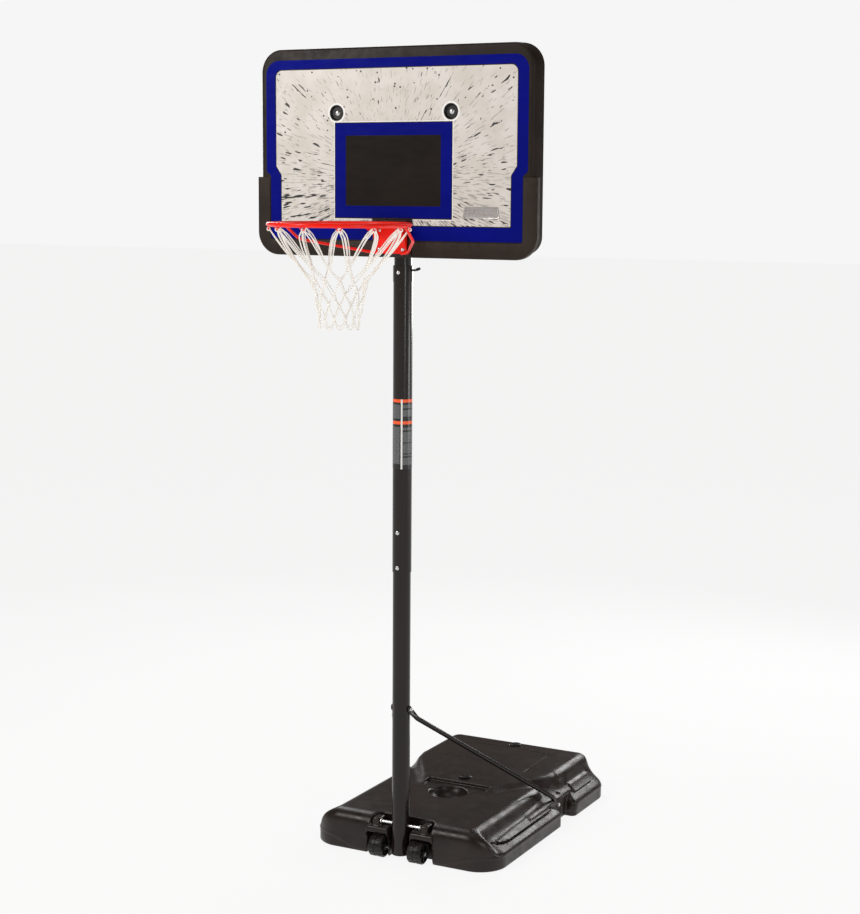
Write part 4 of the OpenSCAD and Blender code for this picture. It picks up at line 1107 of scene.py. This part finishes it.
def guard():
    """Clip-on guard: its section follows the board's lower edge and stops at the sides."""
    def line(half, low, r, y):
        arc = [radians(270 + 90 * i / 14) for i in range(15)]
        right = [(half - r + r * cos(a), low + r + r * sin(a)) for a in arc]
        right += [(half, GUARD_TOP - 1), (half, GUARD_TOP)]
        return lifted([(-x, z) for x, z in reversed(right)] + right, y)

    rear, corner_r, soft, gap = FRONT + 22.5, 84, 6, 0.1
    inner = (BOARD_HALF + 0.3, BOARD_LOW - 0.3, BOARD_R_LOW)
    section = [(*inner, rear), (GUARD_HALF - 2, GUARD_LOW + 2, corner_r - 2, rear),
               (GUARD_HALF, GUARD_LOW, corner_r, rear - 2)]
    section += [(GUARD_HALF - soft * (1 - c), GUARD_LOW + soft * (1 - c), corner_r - soft * (1 - c),
                 GUARD_FRONT + soft * (1 - s)) for s, c in quarter()]
    section += [(510, 2289, 14, GUARD_FRONT), (507, 2292, 11, GUARD_FRONT + 0.6),
                (506, 2293, 10, GUARD_FRONT + 2), (506, 2293, 10, FRONT - gap), (*inner, FRONT - gap)]
    made = Shape()
    rings = [line(*values) for values in section]
    made.skin(rings, closed=True, wraps=False)
    size, count = len(rings[0]), len(rings)
    made.face(i * size for i in range(count))
    made.face(i * size + size - 1 for i in range(count))
    piece = made.build("corner_guard_moulding", look_of("corner_guard"), 35)
    # the guard's lip has room for the plate behind the rim
    room_half, room_low, room_top = 79, 2243, 2343
    corners = [(-room_half, room_low), (room_half, room_low), (room_half, room_top), (-room_half, room_top)]
    tool = Shape()
    tool.skin([lifted(corners, FRONT - 20), lifted(corners, FRONT - 0.02)])
    placed(cut(piece, tool.build("plate_room", look_of("corner_guard")), 35), "corner_guard")


def badge():
    """Plain metal plate with a raised border and no mark on it."""
    (x0, _, z0), (x1, _, z1) = box_of("blank_badge")
    corner_x, corner_z = 6, 4
    corners = [(x0, z0 + corner_z), (x0 + corner_x, z0), (x1 - corner_x, z0), (x1, z0 + corner_z),
               (x1 - corner_x, z1), (x0 + corner_x, z1)]
    middle_x, middle_z = (x0 + x1) / 2, (z0 + z1) / 2

    def at(inset, y):
        across, up = 1 - inset / 68, 1 - inset / 20
        return lifted([(middle_x + (x - middle_x) * across, middle_z + (z - middle_z) * up)
                       for x, z in corners], y)

    face = FRONT - 2
    made = Shape()
    made.skin([at(0, FRONT - 0.4), at(0, face + 0.5), at(0.5, face), at(2.2, face), at(2.7, face + 0.5),
               at(4, face + 0.55)])
    made.stand_for("blank_badge", "_plate")


board()
guard()
badge()


# ---------- rim and net ----------

# share of the net's height and the net's radius there, for each row of knots
NET_ROWS = ((0.0, 233), (0.39, 128), (0.52, 98), (0.64, 82), (0.76, 74), (0.88, 70))
CORD_R = 2.1


def outwards(point):
    """Level direction from the ring's axis to the point."""
    return Vector((point.x - RING.x, point.y - RING.y, 0)).normalized()


def hook_spots():
    """Middle of the rod, outward direction and sideways direction at each hook."""
    for turn in circle(HOOKS):
        away = Vector((cos(turn), sin(turn), 0))
        yield RING + away * RING_R, away, Vector((-sin(turn), cos(turn), 0))


def round_ring():
    made = Shape()
    made.lathe([(RING_R + RING_ROD * cos(a), RING_ROD * sin(a)) for a in circle(28)], RING,
               segments=224, closed=True)
    # the ring's ends meet in a weld at the back
    bead = ((-0.012, 7.6), (-0.006, 8.5), (0, 8.9), (0.006, 8.5), (0.012, 7.6))
    made.sweep([RING + Vector((RING_R * sin(t), RING_R * cos(t), 0)) for t, _ in bead], 0, 24,
               sections=[(r, r, 1) for _, r in bead])
    made.stand_for("rim_ring", "_rod")


def weld(made, places, size, seed):
    """A lumpy bead of weld along a few points."""
    chance = random.Random(seed)
    path = curved(places, 5)
    sizes = [size * chance.uniform(0.75, 1.1) * (0.5 if i in (0, len(path) - 1) else 1)
             for i in range(len(path))]
    made.sweep(path, 0, 10, sections=[(s, s, 1) for s in sizes])


def rim_braces():
    """A bent rod each side, welded under the ring at one end and to the plate at the other."""
    rod_r, bend_r = 5, 22
    ring_end = Vector((234, -418, 2351))
    bends = [ring_end, Vector((224, -343, 2303)), Vector((74, -102, 2255)), Vector((44, -96, 2251))]
    ring_weld = [ring_end + Vector((dx, dy, 0)) for dx, dy in ((-5, -6), (-2, -1), (1, 5), (3, 10))]
    plate_weld = [Vector((x, -91.6, z)) for x, z in ((58, 2257), (50, 2256), (42, 2255))]
    made = Shape()
    for side in (-1, 1):
        turn = Vector((side, 1, 1))
        made.sweep(filleted([p * turn for p in bends], bend_r, 8), rod_r, 18)
        weld(made, [p * turn for p in ring_weld], 3.2, 5)
        weld(made, [p * turn for p in plate_weld], 2.6, 6)
    made.stand_for("rim_braces", "_rod", 45)


def hooks():
    """A half loop of wire under the ring for each top loop of the net, with a weld at both ends."""
    loop_r, wire_r = 9, 2
    made = Shape()
    for i, (base, away, beside) in enumerate(hook_spots()):
        path = [base + beside * loop_r * cos(radians(t)) - UP * (7 + loop_r * sin(radians(t)))
                for t in range(0, 181, 10)]
        made.sweep([path[0] + UP * 3, *path, path[-1] + UP * 3], wire_r, 10)
        for end in (-1, 1):
            spot = base + beside * loop_r * end - UP * 7.4
            weld(made, [spot + away * 3, spot + away, spot - away, spot - away * 3], 1.7, 10 + i)
    made.stand_for("net_hooks", "_wire", 45)


def knot(made, place, size):
    """Two turns of cord pulled tight: one level, one tipped."""
    out = outwards(place)
    beside = out.cross(UP).normalized()
    for tip, shift in ((0.25, 1.4), (-0.5, -1.6)):
        axis = (UP + beside * tip).normalized()
        a = (out - out.dot(axis) * axis).normalized()
        b = axis.cross(a)
        loop = [place + UP * shift + (a * cos(t) + b * sin(t)) * size * 0.9 for t in circle(12)]
        made.sweep(loop, CORD_R, 7, closed=True)


def net():
    """Top loops on the hooks, rows of knotted meshes below them, and a last row of open loops."""
    made = Shape()
    chance = random.Random(11)

    def spot(row, column):
        share, radius = NET_ROWS[row]
        turn = (column + 0.5 * (row % 2)) * 2 * pi / HOOKS
        jitter = 0 if row == 0 else 1
        turn += jitter * chance.uniform(-0.05, 0.05)
        radius += jitter * chance.uniform(-4, 4)
        z = NET_TOP - share * NET_HEIGHT + jitter * chance.uniform(-5, 5)
        return RING + Vector((radius * cos(turn), radius * sin(turn), z - RING.z))

    spots = [[spot(row, column) for column in range(HOOKS)] for row in range(len(NET_ROWS))]

    def strand(a, b, bow, drop, spread=0.0, gap=0.0):
        """A slack cord between two knots. bow pushes it outwards, and spread makes it leave its
        first knot sideways, as each half of a wide loop does."""
        out = outwards((a + b) / 2)
        aside = b - a
        aside.z = 0
        aside -= out * aside.dot(out)
        reach = chance.uniform(0.8, 1.2)
        inner = [a.lerp(b, t) + out * bow * reach * k - UP * drop * k * reach
                 + aside * (spread * side * reach) + aside.normalized() * gap * k
                 for t, k, side in ((0.08, 0.4, 0.16), (0.22, 0.8, 0.30), (0.5, 1.0, 0.24), (0.8, 0.6, 0.08))]
        made.sweep(curved([a, *inner, b], 5), CORD_R, 8)

    for row in range(len(NET_ROWS) - 1):
        for column in range(HOOKS):
            a = spots[row][column]
            right = spots[row + 1][column if row % 2 == 0 else (column + 1) % HOOKS]
            left = spots[row + 1][column - 1 if row % 2 == 0 else column]
            for b in (left, right):
                if row == 0:
                    strand(a, b, 8, -3, 1.0, 3.2)
                    strand(a, b, 3, 5, 0.8, -3.2)
                else:
                    strand(a, b, chance.uniform(-3, 4), chance.uniform(0, 3))
            if row > 0:
                knot(made, a, 4.4)
    for column, a in enumerate(spots[-1]):
        b = spots[-1][(column + 1) % HOOKS]
        knot(made, a, 4.6)
        low = NET_TOP - NET_HEIGHT - chance.uniform(-3, 3)
        middle = (a + b) / 2
        out = outwards(middle)
        turn_a, turn_b = a.lerp(b, 0.18), a.lerp(b, 0.82)
        turn_a.z = turn_b.z = low + 14
        bottom = middle + out * chance.uniform(-2, 6)
        bottom.z = low + 3
        made.sweep(curved([a, turn_a + out * 2, bottom, turn_b + out * 2, b], 6), CORD_R, 8)
    # each top loop goes through its hook
    for hook, away, _ in hook_spots():
        loop = [hook + away * 4.6 * cos(t) + UP * (5 * sin(t) - 16) for t in circle(14)]
        made.sweep(loop, CORD_R, 8, closed=True)
    made.stand_for("net", "_cords", 70)


round_ring()
rim_braces()
hooks()
net()


# ---------- pieces that keep the shape of their node ----------

# width of each one's rounded edges
EDGES = {
    "pole_bottom": 0.4, "pole_middle": 0.5, "pole_top": 0.4, "pole_foot_cap": 0.8,
    "pole_top_cap": 0.8, "front_fill_cap": 0.8, "rear_fill_cap": 0.8, "wheel_axles": 0.6,
    "wheel_axle_clips": 0.4, "pivot_rod": 1.0, "pivot_rod_clips": 0.4, "pole_joint_bolts": 0.4,
    "pole_joint_nuts": 0.6, "guide_bolt": 0.4, "strut_top_bolt": 0.4, "strut_top_nut": 0.6,
    "strut_foot_bolts": 0.4, "strut_foot_nuts": 0.6, "board_bolts": 0.4, "board_bolt_nuts": 0.6,
    "board_bolt_cups": 0.6, "bracket_arm_left": 0.8, "bracket_arm_right": 0.8, "arm_bolt": 0.4,
    "arm_nut": 0.6, "pole_bracket": 0.7, "bracket_bolts": 0.4, "bracket_nuts": 0.6,
    "backing_plate": 0.8, "rim_plate": 0.8, "rim_bolts": 0.4, "rim_nuts": 0.6,
}
for node, bevel in EDGES.items():
    refined(node, bevel)
for node in ("front_cap_seal", "rear_cap_seal", "pole_glide", "blue_border", "white_field",
             "target_border", "target_panel"):
    materials = frame["nodes"][node].data.materials
    for i in range(len(materials)):
        materials[i] = look_of(node)
